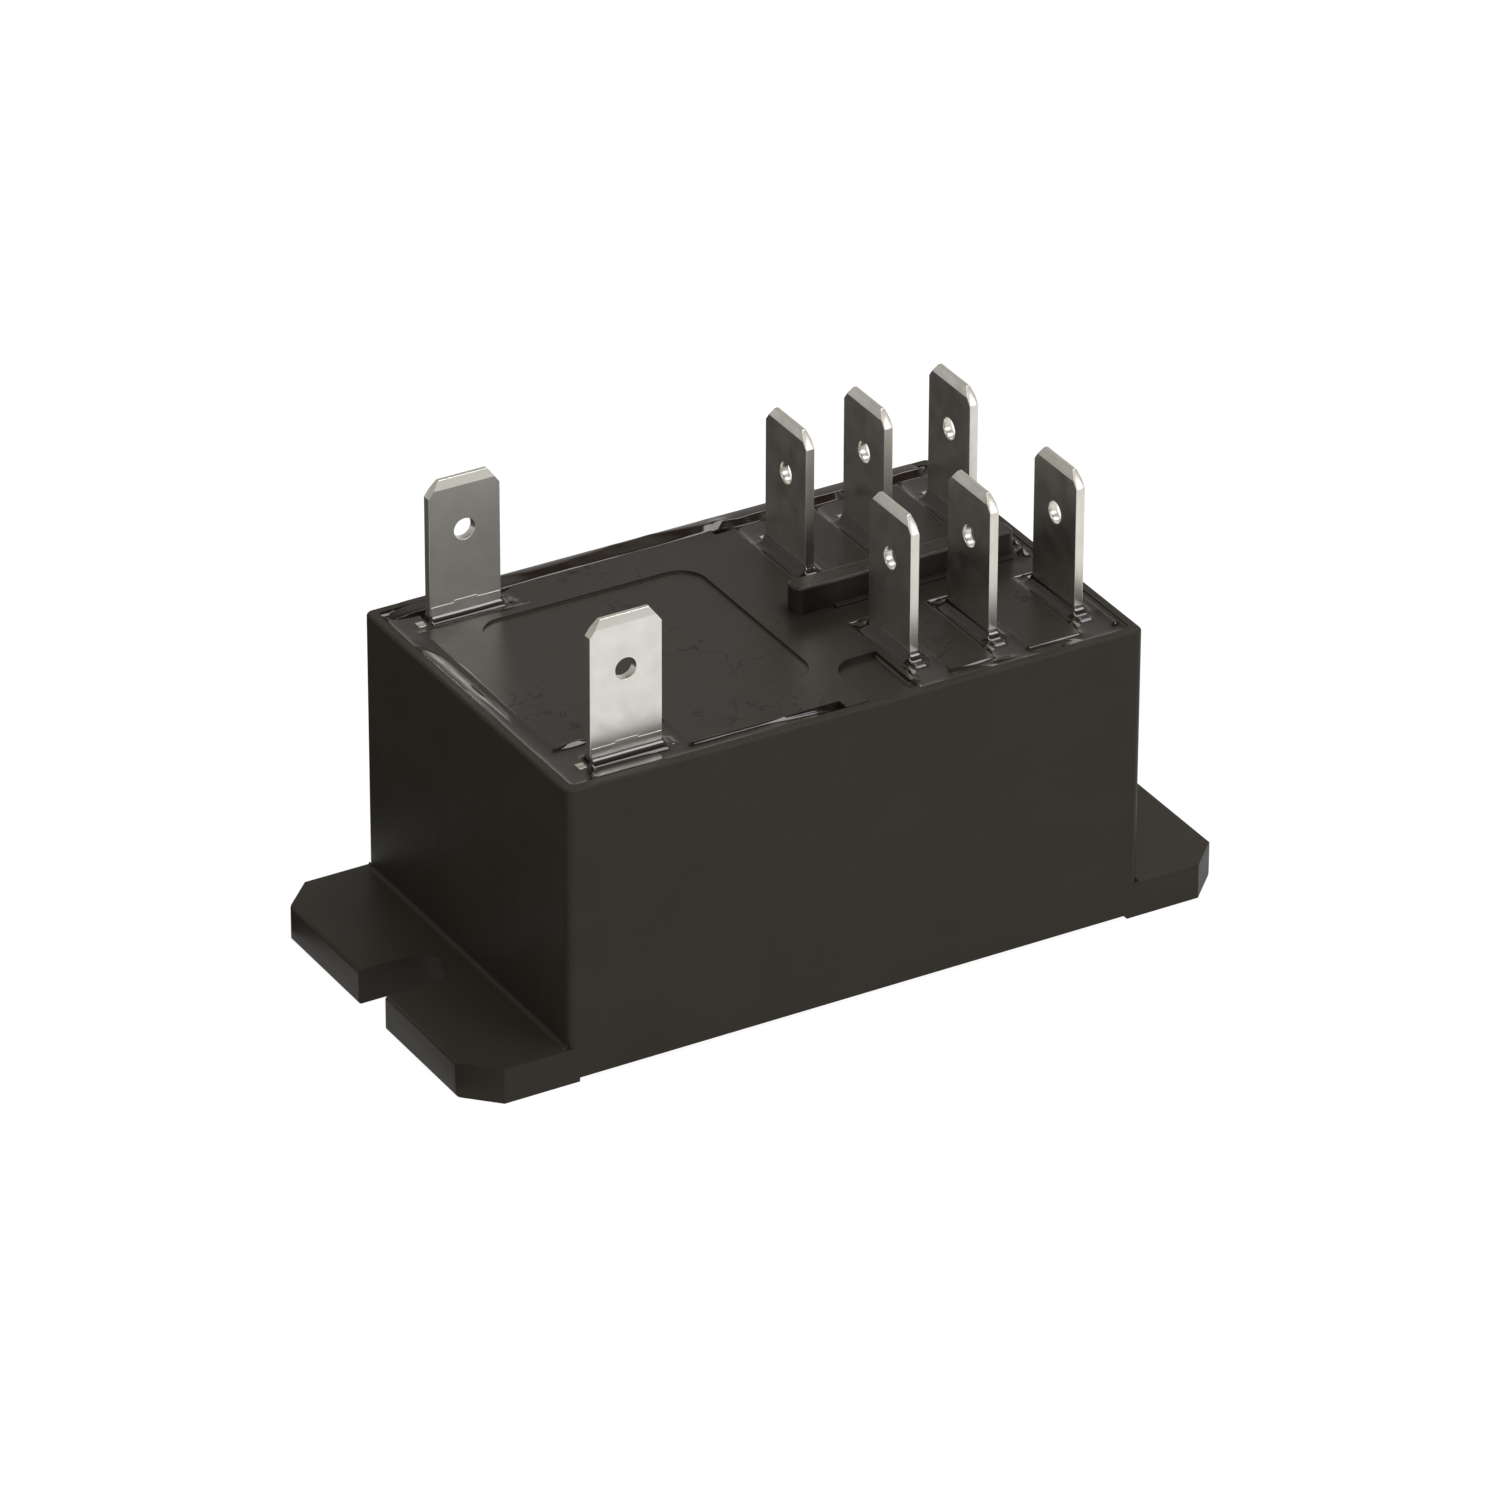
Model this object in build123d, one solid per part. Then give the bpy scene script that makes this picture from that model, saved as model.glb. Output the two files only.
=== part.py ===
from build123d import *
import os
from math import asin, atan, cos, degrees, radians, sin, tan

os.makedirs("parts", exist_ok=True)

# A sealed two-pole changeover relay. All sizes are in millimetres.
# X runs along the long side, Y towards the rear row of blades and Z up.
# The origin is the centre of the footprint, in the plane of the flange feet.

# Case
body_length = 52.0
body_width = 33.0
rim_height = 26.2
wall = 1.2
rim_wall = 0.8
floor_thickness = 1.2
corner_radius = 0.7
inner_corner_radius = 0.5
rim_edge_radius = 0.25
foot_rise = 0.35
foot_overlap = 1.0
flange_thickness = 3.1
flange_reach = 8.5
flange_chamfer = 2.8
flange_edge_radius = 0.3
slot_width = 4.5
slot_offset = 4.15
rib_thickness = 1.0
rib_height = 1.8

# Header, the moulded base that carries the blades and closes the case
header_gap = 0.05
header_thickness = 3.4
deck_drop = 0.2
pocket_depth = 1.4
seal_gap = 0.45
left_channel = 1.85
front_channel = 1.55
rear_channel = 0.95
strip_channel = 1.65
coil_pocket_length = 11.5
coil_pocket_depth_front = 5.95
coil_pocket_depth_rear = 4.15
recess_depth = 7.0
recess_radius = 2.4
pocket_margin = 1.2
pocket_end_margin = 0.3
label_inset_left = 6.6
label_inset_front = 6.9
label_inset_rear = 5.9
label_radius = 2.3
label_depth = 0.2
# How far each of these starts or ends before the first contact blades
label_before = 7.58
front_channel_before = 8.48
front_strip_before = 1.98
rear_strip_before = 3.48
recess_before = 6.38
barrier_before = 4.58
partition_before = 3.98
barrier_past = 0.42
barrier_width = 1.9
barrier_height = 2.4
barrier_corner = 0.6
ledge_width = 0.45
ledge_height = 0.3
partition_width = 1.2
partition_inset = 0.6
partition_above_card = 3.0
socket_margin = 1.0
socket_drop = 1.6
pad_height = 0.7
pad_width = 2.0
pad_length = 14.0

# Potting that fills the pockets and climbs the blades
epoxy_drop = 0.25
climb_height = 0.6
climb_reach = 0.5
climb_edge = 0.02

# Quick-connect blades
blade_width = 6.35
blade_thickness = 0.8
blade_height = 12.35
shoulder_reach = 0.97
shoulder_drop = 0.1
tip_cut_width = 1.0
tip_cut_height = 1.35
tip_bevel_length = 0.75
tip_bevel_depth = 0.22
hole_diameter = 1.85
hole_below_tip = 4.75
bend_radius = 0.3
coil_blade_inset = 7.0
coil_blade_side_inset = 3.6
row_inset = 8.4
closed_blade_inset = 2.92
open_pitch = 7.2
closed_pitch = 7.9
slot_gap = 0.05
coil_post_width = 1.2
coil_post_length = 6.0

# Coil and magnet
back_gap = 0.4
yoke_thickness = 1.6
yoke_width = 15.0
yoke_bend_radius = 2.0
yoke_foot_gap = 1.0
contact_room = 31.9
bobbin_side_margin = 0.7
bobbin_flange = 1.2
bobbin_corner = 1.5
bobbin_tube_wall = 0.95
core_radius = 3.2
core_gap = 0.05
spigot_radius = 2.2
rivet_head_radius = 2.9
rivet_head_height = 0.3
pole_inset = 3.4
pole_thickness = 1.15
winding_inset = 1.375
tape_thickness = 0.2
tape_setback = 1.8
lead_radius = 0.2
lead_angle = 50.0
lead_bend = 0.8
lead_out = 3.2
lead_lift = 1.6
lead_run = 1.6
lead_above_end = 1.4

# Armature and its hinge on the yoke's tongue
closed_gap = 0.15
hinge_gap = 0.05
armature_thickness = 1.5
armature_width = 14.0
armature_corner = 1.2
armature_rise = 0.3
armature_foot_width = 4.0
armature_foot_length = 3.6
armature_foot_below_card = 0.8
tongue_width = 4.4
tongue_head_width = 6.6
tongue_head_length = 1.0
tongue_slack = 0.35
notch_gap = 0.3
notch_depth_gap = 0.4
shelf_gap = 0.3
shelf_length = 3.8
shelf_width = 6.0

# Card that links the armature to the moving blades
card_thickness = 1.2
card_above_floor = 2.85
card_slack = 0.15
tip_slack = 0.12
card_bar = 0.9
card_stem_width = 7.2
card_edge = 1.3
card_head_margin = 1.7
card_corner = 0.8
card_rib_width = 1.2
card_rib_height = 0.8

# Moving blades, their contacts and the fixed contacts
spring_thickness = 0.4
spring_width = 5.6
clamp_length = 3.2
clamp_gap = 0.4
tip_width = 2.4
tip_below_card = 0.5
tip_above_card = 1.6
blade_swing = 8.0
contact_above_card = 4.4
contact_radius = 1.7
contact_height = 0.9
contact_dome = 0.25
dome_steps = 5
fixed_radius = 1.9
fixed_height = 0.8
fixed_dome = 0.2
shank_radius = 0.8
shank_gap = 0.02
rivet_back_radius = 1.25
rivet_back_height = 0.4
contact_gap = 0.1
tail_below_contact = 2.4
crank_drop = 3.6

# Return spring between the bobbin and the armature
spring_drop = 3.7
spring_coil_radius = 1.28
spring_wire = 0.34
spring_turns = 2.5
spring_seat_depth = 0.7
spring_seat_gap = 0.25
spring_end_gap = 0.03

# Levels and faces that several pieces share
half_length = body_length / 2
half_width = body_width / 2
inner_x = half_length - wall
inner_y = half_width - wall
rim_x = half_length - rim_wall
rim_y = half_width - rim_wall
floor_z = foot_rise + floor_thickness
deck_z = rim_height - deck_drop
header_z = deck_z - header_thickness
pocket_z = deck_z - pocket_depth
epoxy_z = deck_z - epoxy_drop
tip_z = deck_z + blade_height

coil_blade_x = -half_length + coil_blade_inset
coil_blade_y = half_width - coil_blade_side_inset
row_y = half_width - row_inset
closed_x = half_length - closed_blade_inset
common_x = closed_x - closed_pitch
open_x = common_x - open_pitch
slot_length = blade_width + 2 * shoulder_reach

yoke_top = header_z - pad_height
yoke_under = yoke_top - yoke_thickness
yoke_back_x = -inner_x + back_gap
bobbin_length = body_length - contact_room
bobbin_left = yoke_back_x + yoke_thickness
bobbin_right = bobbin_left + bobbin_length
core_z = (floor_z + yoke_under) / 2
bobbin_height = yoke_under - floor_z
winding_radius = bobbin_height / 2 - winding_inset
bobbin_width = 2 * (winding_radius + bobbin_side_margin)
pole_radius = winding_radius - pole_inset
pole_face_x = bobbin_right + pole_thickness
hinge_x = pole_face_x + closed_gap
hinge_z = yoke_top
yoke_end_x = hinge_x - hinge_gap
head_start_x = hinge_x + armature_thickness + tongue_slack

card_bottom = floor_z + card_above_floor
card_top = card_bottom + card_thickness
card_middle = card_bottom + card_thickness / 2
blade_hinge_z = header_z - clamp_length
blade_lever = blade_hinge_z - card_middle
card_travel = blade_lever * sin(radians(blade_swing))
armature_swing = degrees(asin(card_travel / (hinge_z - card_middle)))
lean = tan(radians(armature_swing))

spring_face_x = common_x + blade_thickness / 2
spring_back_x = spring_face_x + spring_thickness
contact_z = card_top + contact_above_card
contact_lever = blade_hinge_z - contact_z
closed_face_x = spring_back_x + contact_height + contact_gap
swing_sin = sin(radians(blade_swing))
swing_cos = cos(radians(blade_swing))
open_face_x = spring_face_x - contact_height * swing_cos - contact_lever * swing_sin - contact_gap
open_contact_z = blade_hinge_z + contact_height * swing_sin - contact_lever * swing_cos
crank_z = header_z - crank_drop

# How far a cut runs past the face that it opens
cut_margin = 1.0


def block(x0, x1, y0, y1, z0, z1):
    """A box between two corners."""
    size = Box(x1 - x0, y1 - y0, z1 - z0)
    return Pos((x0 + x1) / 2, (y0 + y1) / 2, (z0 + z1) / 2) * size


def plate(x0, x1, y0, y1, z0, z1, radius):
    """A flat plate with rounded upright corners."""
    outline = RectangleRounded(x1 - x0, y1 - y0, radius)
    return extrude(Pos((x0 + x1) / 2, (y0 + y1) / 2, z0) * outline, amount=z1 - z0)


def upright(points, y0, y1):
    """A profile given as (x, z) points, carried along Y."""
    face = make_face(Polyline(*points, close=True))
    profile = Plane.XZ.offset(-y0) * face
    return extrude(profile, amount=-(y1 - y0))


def crosswise(points, x0, x1):
    """A profile given as (y, z) points, carried along X."""
    face = make_face(Polyline(*points, close=True))
    return extrude(Plane.YZ.offset(x0) * face, amount=x1 - x0)


def turned(points, y, z):
    """A profile of (x, radius) points turned about an axis along X at the given y and z."""
    face = make_face(Polyline(*points, close=True))
    return Pos(0, y, z) * revolve(Plane.XZ * face, Axis.X)


def edges_at(shape, axis, level, tolerance=0.01):
    """The edges whose centres lie at one level on an axis."""
    return shape.edges().filter_by_position(axis, level - tolerance, level + tolerance)


def make_case():
    """The tub with its flanges, open slots, foot pads, header ledge and floor ribs."""
    body = plate(-half_length, half_length, -half_width, half_width, foot_rise, rim_height, corner_radius)
    body = fillet(edges_at(body, Axis.Z, rim_height), rim_edge_radius)
    foot_inner = half_length - foot_overlap
    end = half_length + flange_reach
    for side in (-1, 1):
        corner = half_width - flange_chamfer
        outline = [
            (side * foot_inner, -half_width),
            (side * (end - flange_chamfer), -half_width),
            (side * end, -corner),
            (side * end, corner),
            (side * (end - flange_chamfer), half_width),
            (side * foot_inner, half_width),
        ]
        flange = extrude(make_face(Polyline(*outline, close=True)), amount=flange_thickness)
        flange = fillet(edges_at(flange, Axis.X, side * end), flange_edge_radius)
        centre = side * (half_length + slot_offset)
        flange -= Pos(centre, 0, flange_thickness / 2) * Cylinder(slot_width / 2, 2 * flange_thickness)
        mouth = sorted((centre, side * (end + cut_margin)))
        half = slot_width / 2
        flange -= block(*mouth, -half, half, -cut_margin, flange_thickness + cut_margin)
        body += flange
    radius = inner_corner_radius
    body -= plate(-inner_x, inner_x, -inner_y, inner_y, floor_z, header_z + cut_margin, radius)
    body -= plate(-rim_x, rim_x, -rim_y, rim_y, header_z, rim_height + cut_margin, radius)
    # Two ribs keep the bobbin from sliding sideways, and a shelf lies under the armature's foot.
    rib_y = bobbin_width / 2 + header_gap
    for side in (-1, 1):
        rib = sorted((side * rib_y, side * (rib_y + rib_thickness)))
        body += block(bobbin_left, bobbin_right, *rib, floor_z, floor_z + rib_height)
    shelf_top = card_bottom - armature_foot_below_card - shelf_gap
    shelf_x = hinge_x + armature_thickness / 2 - shelf_length / 2 + card_travel / 2
    half = shelf_width / 2
    body += block(shelf_x, shelf_x + shelf_length, -half, half, floor_z, shelf_top)
    return body


def pocket_outline():
    """Plan of everything on the deck that lies at pocket level."""
    x_end = rim_x
    y_end = rim_y
    rim = RectangleRounded(2 * x_end, 2 * y_end, inner_corner_radius)
    area = rim - Rectangle(2 * (x_end - seal_gap), 2 * (y_end - seal_gap))

    def add(x0, x1, y0, y1):
        return Pos((x0 + x1) / 2, (y0 + y1) / 2) * Rectangle(x1 - x0, y1 - y0)

    coil_end = -x_end + coil_pocket_length
    front_strip_start = open_x - front_strip_before
    rear_strip_start = open_x - rear_strip_before
    area += add(-x_end, -x_end + left_channel, -y_end, y_end)
    area += add(-x_end, coil_end, -y_end, -y_end + coil_pocket_depth_front)
    area += add(-x_end, coil_end, y_end - coil_pocket_depth_rear, y_end)
    area += add(-x_end, open_x - front_channel_before, -y_end, -y_end + front_channel)
    area += add(-x_end, rear_strip_start, y_end - rear_channel, y_end)
    area += add(front_strip_start, x_end, -y_end, -y_end + strip_channel)
    area += add(rear_strip_start, x_end, y_end - strip_channel, y_end)
    recess = add(open_x - recess_before, front_strip_start, -y_end, -y_end + recess_depth)
    corner = recess.vertices().sort_by(Axis.Y)[-2:].sort_by(Axis.X)[0]
    area += fillet(corner, recess_radius)
    for x in (open_x, common_x, closed_x):
        half = blade_thickness / 2 + pocket_margin
        inner = row_y - slot_length / 2 - pocket_end_margin
        for side in (-1, 1):
            low, high = sorted((side * inner, side * y_end))
            area += add(x - half, x + half, low, high)
    return area & rim


def terminal_places():
    """Plan places of the eight blades: centre x, centre y and size along X and Y at the shoulders."""
    places = []
    for y in (-coil_blade_y, coil_blade_y):
        places.append((coil_blade_x, y, slot_length, blade_thickness))
    for x in (open_x, common_x, closed_x):
        for y in (-row_y, row_y):
            places.append((x, y, blade_thickness, slot_length))
    return places


def make_header():
    """The terminal base: deck, pockets, label recess, barrier rib, partition, sockets and pads."""
    edge_x = rim_x - header_gap
    edge_y = rim_y - header_gap
    radius = inner_corner_radius
    body = plate(-edge_x, edge_x, -edge_y, edge_y, header_z, deck_z, radius)
    body -= extrude(Pos(0, 0, pocket_z) * pocket_outline(), amount=pocket_depth + cut_margin)
    root_z = deck_z - label_depth
    label_x = (-half_length + label_inset_left, open_x - label_before)
    label_y = (-half_width + label_inset_front, half_width - label_inset_rear)
    body -= plate(*label_x, *label_y, root_z, deck_z + cut_margin, label_radius)

    half = barrier_width / 2
    rib_top = deck_z + barrier_height
    rib_x = (open_x - barrier_before, closed_x + barrier_past)
    rib = plate(*rib_x, -half, half, root_z, rib_top, barrier_corner)
    rib = fillet(edges_at(rib, Axis.Z, rib_top), rim_edge_radius)
    ledge = half + ledge_width
    body += block(open_x - pocket_margin, closed_x, -ledge, ledge, root_z, deck_z + ledge_height)
    body += rib

    half = partition_width / 2
    partition_x = (open_x - partition_before, inner_x - partition_inset)
    body += block(*partition_x, -half, half, card_top + partition_above_card, header_z)
    low_x = (bobbin_left + bobbin_right) / 2 - pad_length / 2
    high_x = low_x + pad_length
    for side in (-1, 1):
        low_y = side * yoke_width / 4 - pad_width / 2
        high_y = low_y + pad_width
        body += block(low_x, high_x, low_y, high_y, header_z - pad_height, header_z)

    for x, y, size_x, size_y in terminal_places():
        socket_z = header_z - socket_drop
        if x != common_x:
            # Sockets stop short of the case wall.
            low_x = max(x - size_x / 2 - socket_margin, -inner_x + header_gap)
            high_x = min(x + size_x / 2 + socket_margin, inner_x - header_gap)
            low_y = max(y - size_y / 2 - socket_margin, -inner_y + header_gap)
            high_y = min(y + size_y / 2 + socket_margin, inner_y - header_gap)
            body += block(low_x, high_x, low_y, high_y, socket_z, header_z)
        body -= opening(x, y, size_x, size_y, header_z, deck_z + cut_margin)
        if x == coil_blade_x:
            body -= opening(x, y, coil_post_width, blade_thickness, socket_z - cut_margin, header_z)
        else:
            body -= opening(x, y, blade_thickness, blade_width, socket_z - cut_margin, header_z)
    return body


def opening(x, y, size_x, size_y, z0, z1):
    """The room for one terminal, a little larger than its section."""
    half_x = size_x / 2 + slot_gap
    half_y = size_y / 2 + slot_gap
    return block(x - half_x, x + half_x, y - half_y, y + half_y, z0, z1)


def make_epoxy(terminals):
    """The potting: it fills every pocket, and a sloping collar climbs each blade."""
    body = extrude(Pos(0, 0, pocket_z) * pocket_outline(), amount=epoxy_z - pocket_z)
    slope = degrees(atan(climb_reach / climb_height))
    for x, y, size_x, size_y in terminal_places():
        length = blade_width if size_x > size_y else blade_thickness
        depth = blade_thickness if size_x > size_y else blade_width
        foot = Pos(x, y, epoxy_z) * Rectangle(length + 2 * climb_reach, depth + 2 * climb_reach)
        body += extrude(foot, amount=climb_height - climb_edge, taper=slope)
    for terminal in terminals:
        body -= terminal
    return body


def blade_outline(half_base):
    """Half-symmetric outline of a blade above the header, as (across, z) points."""
    half = blade_width / 2
    shoulder_z = deck_z - shoulder_drop
    right = [
        (half_base, header_z),
        (half_base, shoulder_z),
        (half, shoulder_z),
        (half, tip_z - tip_cut_height),
        (half - tip_cut_width, tip_z),
    ]
    return right + [(-across, z) for across, z in reversed(right)]


def finish_tip(blade):
    """Bevel both faces at the tip so that a receptacle slides on."""
    middles = [edge @ 0.5 for edge in edges_at(blade, Axis.Z, tip_z).sort_by(SortBy.LENGTH)[-2:]]
    for middle in middles:
        edge = min(blade.edges(), key=lambda other: (other @ 0.5 - middle).length)
        side = min(blade.faces(), key=lambda face: broad_side(face, middle))
        blade = chamfer(edge, tip_bevel_length, tip_bevel_depth, reference=side)
    return blade


def broad_side(face, middle):
    """Distance from a point to a face, with level faces put last."""
    level = abs(face.normal_at().Z) > 0.99
    return (1 if level else 0) + face.distance_to(Vertex(*middle))


def make_coil_terminal(y):
    """A blade across Y with a narrow post inside for the coil lead."""
    half = blade_thickness / 2
    body = upright(blade_outline(slot_length / 2), y - half, y + half)
    body = Pos(coil_blade_x, 0, 0) * body
    body = finish_tip(body)
    post = coil_post_width / 2
    low = header_z - coil_post_length
    body += block(coil_blade_x - post, coil_blade_x + post, y - half, y + half, low, header_z)
    hole = Pos(coil_blade_x, y, tip_z - hole_below_tip) * Rot(90, 0, 0)
    return body - hole * Cylinder(hole_diameter / 2, 2 * blade_thickness)


def make_contact_terminal(x, y, tail_points):
    """A blade across X, with the tail given as (x, z) points of its edge-on profile."""
    half = blade_thickness / 2
    body = crosswise(blade_outline(slot_length / 2), x - half, x + half)
    body = Pos(0, y, 0) * finish_tip(body)
    hole = Pos(x, y, tip_z - hole_below_tip) * Rot(0, 90, 0)
    body -= hole * Cylinder(hole_diameter / 2, 2 * blade_thickness)
    tail = upright(tail_points, y - blade_width / 2, y + blade_width / 2)
    return body + tail


def cranked_tail(x, face_x, low_z):
    """Edge-on profile of a tail that steps sideways from the blade at x to a face at face_x."""
    half = blade_thickness / 2
    side = 1 if face_x > x else -1
    near = x - side * half
    far = x + side * half
    end_near = face_x - side * blade_thickness
    return [
        (near, header_z),
        (near, crank_z + bend_radius),
        (near + side * bend_radius, crank_z),
        (end_near, crank_z),
        (end_near, low_z),
        (face_x, low_z),
        (face_x, crank_z + blade_thickness - bend_radius),
        (face_x - side * bend_radius, crank_z + blade_thickness),
        (far, crank_z + blade_thickness),
        (far, header_z),
    ]


def rivet_hole(x0, x1, y, z):
    """A cylinder for a contact's shank, along X."""
    middle = Pos((x0 + x1) / 2, y, z) * Rot(0, 90, 0)
    return middle * Cylinder(shank_radius + shank_gap, abs(x1 - x0) + cut_margin)


def domed_button(base_x, direction, height, radius, dome):
    """Half profile of a domed contact button: (x, radius) points from its axis out to its base."""
    points = []
    for step in range(dome_steps + 1):
        share = step / dome_steps
        points.append((base_x + direction * (height - dome * share ** 2), radius * share))
    return points + [(base_x, radius)]


def make_fixed_contact(tail_face_x, direction, y, z):
    """A contact rivet with its domed button on the tail's face and a flat head behind it."""
    back_x = tail_face_x - direction * blade_thickness
    points = domed_button(tail_face_x, direction, fixed_height, fixed_radius, fixed_dome)
    points += [
        (tail_face_x, shank_radius),
        (back_x, shank_radius),
        (back_x, rivet_back_radius),
        (back_x - direction * rivet_back_height, rivet_back_radius),
        (back_x - direction * rivet_back_height, 0),
    ]
    return turned(points, y, z)


def make_moving_contact(y):
    """A double-sided contact rivet through a moving blade."""
    closed = domed_button(spring_back_x, 1, contact_height, contact_radius, contact_dome)
    opened = domed_button(spring_face_x, -1, contact_height, contact_radius, contact_dome)
    shank = [(spring_back_x, shank_radius), (spring_face_x, shank_radius)]
    return turned(closed + shank + opened[::-1], y, contact_z)


def make_moving_blade(y):
    """A spring blade that narrows to a tip for the card."""
    half = spring_width / 2
    tip = tip_width / 2
    top = header_z - clamp_gap
    step_z = card_top + tip_above_card
    low = card_bottom - tip_below_card
    points = [(-half, top), (-half, step_z + tip), (-tip, step_z), (-tip, low)]
    points += [(-across, z) for across, z in reversed(points)]
    body = Pos(0, y, 0) * crosswise(points, spring_face_x, spring_back_x)
    return body - rivet_hole(spring_face_x, spring_back_x, y, contact_z)


def make_bobbin():
    """The spool, with square flanges, a wire notch and the return spring's seat."""
    flanges = []
    for x0 in (bobbin_left, bobbin_right - bobbin_flange):
        outline = RectangleRounded(bobbin_width, bobbin_height, bobbin_corner)
        flanges.append(extrude(Plane.YZ.offset(x0) * Pos(0, core_z) * outline, amount=bobbin_flange))
    middle = Pos((bobbin_left + bobbin_right) / 2, 0, core_z) * Rot(0, 90, 0)
    body = middle * Cylinder(core_radius + core_gap + bobbin_tube_wall, bobbin_length)
    for flange in flanges:
        body += flange
    body -= middle * Cylinder(core_radius + core_gap, bobbin_length + cut_margin)
    seat = Pos(bobbin_right, 0, hinge_z - spring_drop) * Rot(0, 90, 0)
    seat_radius = spring_coil_radius + spring_wire / 2 + spring_seat_gap
    body -= seat * Cylinder(seat_radius, 2 * spring_seat_depth)
    return body


def make_winding():
    """The copper coil between the bobbin's flanges."""
    inner = core_radius + core_gap + bobbin_tube_wall
    x0 = bobbin_left + bobbin_flange
    x1 = bobbin_right - bobbin_flange
    return turned([(x0, inner), (x0, winding_radius), (x1, winding_radius), (x1, inner)], 0, core_z)


def make_tape():
    """A band of tape round the coil, short of the flange where the leads come out."""
    x0 = bobbin_left + bobbin_flange + tape_setback
    x1 = bobbin_right - bobbin_flange
    outer = winding_radius + tape_thickness
    return turned([(x0, winding_radius), (x0, outer), (x1, outer), (x1, winding_radius)], 0, core_z)


def make_lead(side):
    """One end of the winding, led over to the post of a coil terminal."""
    reach = winding_radius + lead_radius + shank_gap
    start_x = bobbin_left + bobbin_flange + tape_setback / 2
    start_y = side * reach * cos(radians(lead_angle))
    start_z = core_z + reach * sin(radians(lead_angle))
    post_y = side * (coil_blade_y - blade_thickness / 2 - shank_gap)
    post_z = header_z - coil_post_length + lead_above_end
    near_x = (start_x + coil_blade_x) / 2
    route = [
        (start_x, start_y, start_z),
        (start_x, start_y + side * lead_out, start_z + lead_lift),
        (near_x, post_y - side * lead_run, post_z + lead_radius),
        (coil_blade_x, post_y, post_z),
    ]
    path = FilletPolyline(*route, radius=lead_bend)
    return sweep(Plane(path @ 0, z_dir=path % 0) * Circle(lead_radius), path=path)


def make_core():
    """The iron core, with a pole head in front and a spigot riveted into the yoke."""
    head_x = yoke_back_x - rivet_head_height
    points = [
        (head_x, 0),
        (head_x, rivet_head_radius),
        (yoke_back_x, rivet_head_radius),
        (yoke_back_x, spigot_radius),
        (bobbin_left, spigot_radius),
        (bobbin_left, core_radius),
        (bobbin_right, core_radius),
        (bobbin_right, pole_radius),
        (pole_face_x, pole_radius),
        (pole_face_x, 0),
    ]
    return turned(points, 0, core_z)


def make_yoke():
    """The bent iron strip, with the tongue that carries the armature."""
    half = yoke_width / 2
    low = floor_z + yoke_foot_gap
    points = [
        (yoke_back_x, low),
        (yoke_back_x, yoke_top),
        (yoke_end_x, yoke_top),
        (yoke_end_x, yoke_under),
        (bobbin_left, yoke_under),
        (bobbin_left, low),
    ]
    body = upright(points, -half, half)
    outer = body.edges().filter_by(Axis.Y).sort_by(Axis.Z)[-2:].sort_by(Axis.X)[0]
    body = fillet(outer, yoke_bend_radius)
    neck = tongue_width / 2
    head = tongue_head_width / 2
    head_end = head_start_x + tongue_head_length
    body += block(yoke_end_x, head_end, -neck, neck, yoke_under, yoke_top)
    body += block(head_start_x, head_end, -head, head, yoke_under, yoke_top)
    hole = Pos(yoke_back_x + yoke_thickness / 2, 0, core_z) * Rot(0, 90, 0)
    return body - hole * Cylinder(spigot_radius, 2 * yoke_thickness)


def make_armature():
    """The iron plate, leaning out from the pole at rest, with its foot in the card."""
    half = armature_width / 2
    foot = armature_foot_width / 2
    notch = tongue_width / 2 + notch_gap
    top = hinge_z + armature_rise
    notch_z = yoke_under - notch_depth_gap
    low = card_bottom - armature_foot_below_card
    shoulder = low + armature_foot_length
    points = [
        (-half, top),
        (-half, shoulder + armature_corner),
        (-half + armature_corner, shoulder),
        (-foot, shoulder),
        (-foot, low),
        (foot, low),
        (foot, shoulder),
        (half - armature_corner, shoulder),
        (half, shoulder + armature_corner),
        (half, top),
        (notch, top),
        (notch, notch_z),
        (-notch, notch_z),
        (-notch, top),
    ]
    body = crosswise(points, hinge_x, hinge_x + armature_thickness)
    hinge = Axis((hinge_x, 0, hinge_z), (0, 1, 0))
    return body.rotate(hinge, -armature_swing)


def make_card():
    """The moulded card: a stem to the armature's foot and a head with a slot for each blade tip."""
    foot_left = hinge_x + (hinge_z - card_top) * lean - card_slack
    foot_width = armature_thickness / cos(radians(armature_swing))
    foot_right = hinge_x + (hinge_z - card_bottom) * lean + foot_width + card_slack
    left = foot_left - card_bar
    head_left = spring_face_x - card_head_margin
    head_right = spring_back_x + card_head_margin
    stem = card_stem_width / 2
    slot_reach = tip_width / 2 + card_slack
    head = row_y + slot_reach + card_edge
    body = plate(left, head_right, -stem, stem, card_bottom, card_top, card_corner)
    body += plate(head_left, head_right, -head, head, card_bottom, card_top, card_corner)
    rib = card_rib_width / 2
    rib_top = card_top + card_rib_height
    body += block(foot_right + card_edge, head_left, -rib, rib, card_top, rib_top)
    hold = armature_foot_width / 2 + card_slack
    through = (card_bottom - cut_margin, card_top + cut_margin)
    body -= block(foot_left, foot_right, -hold, hold, *through)
    slack = tip_slack + card_thickness / 2 * tan(radians(blade_swing))
    slot_left = spring_face_x - slack
    slot_right = spring_back_x + slack
    for side in (-1, 1):
        low = side * row_y - slot_reach
        high = side * row_y + slot_reach
        body -= block(slot_left, slot_right, low, high, *through)
    return body


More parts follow.
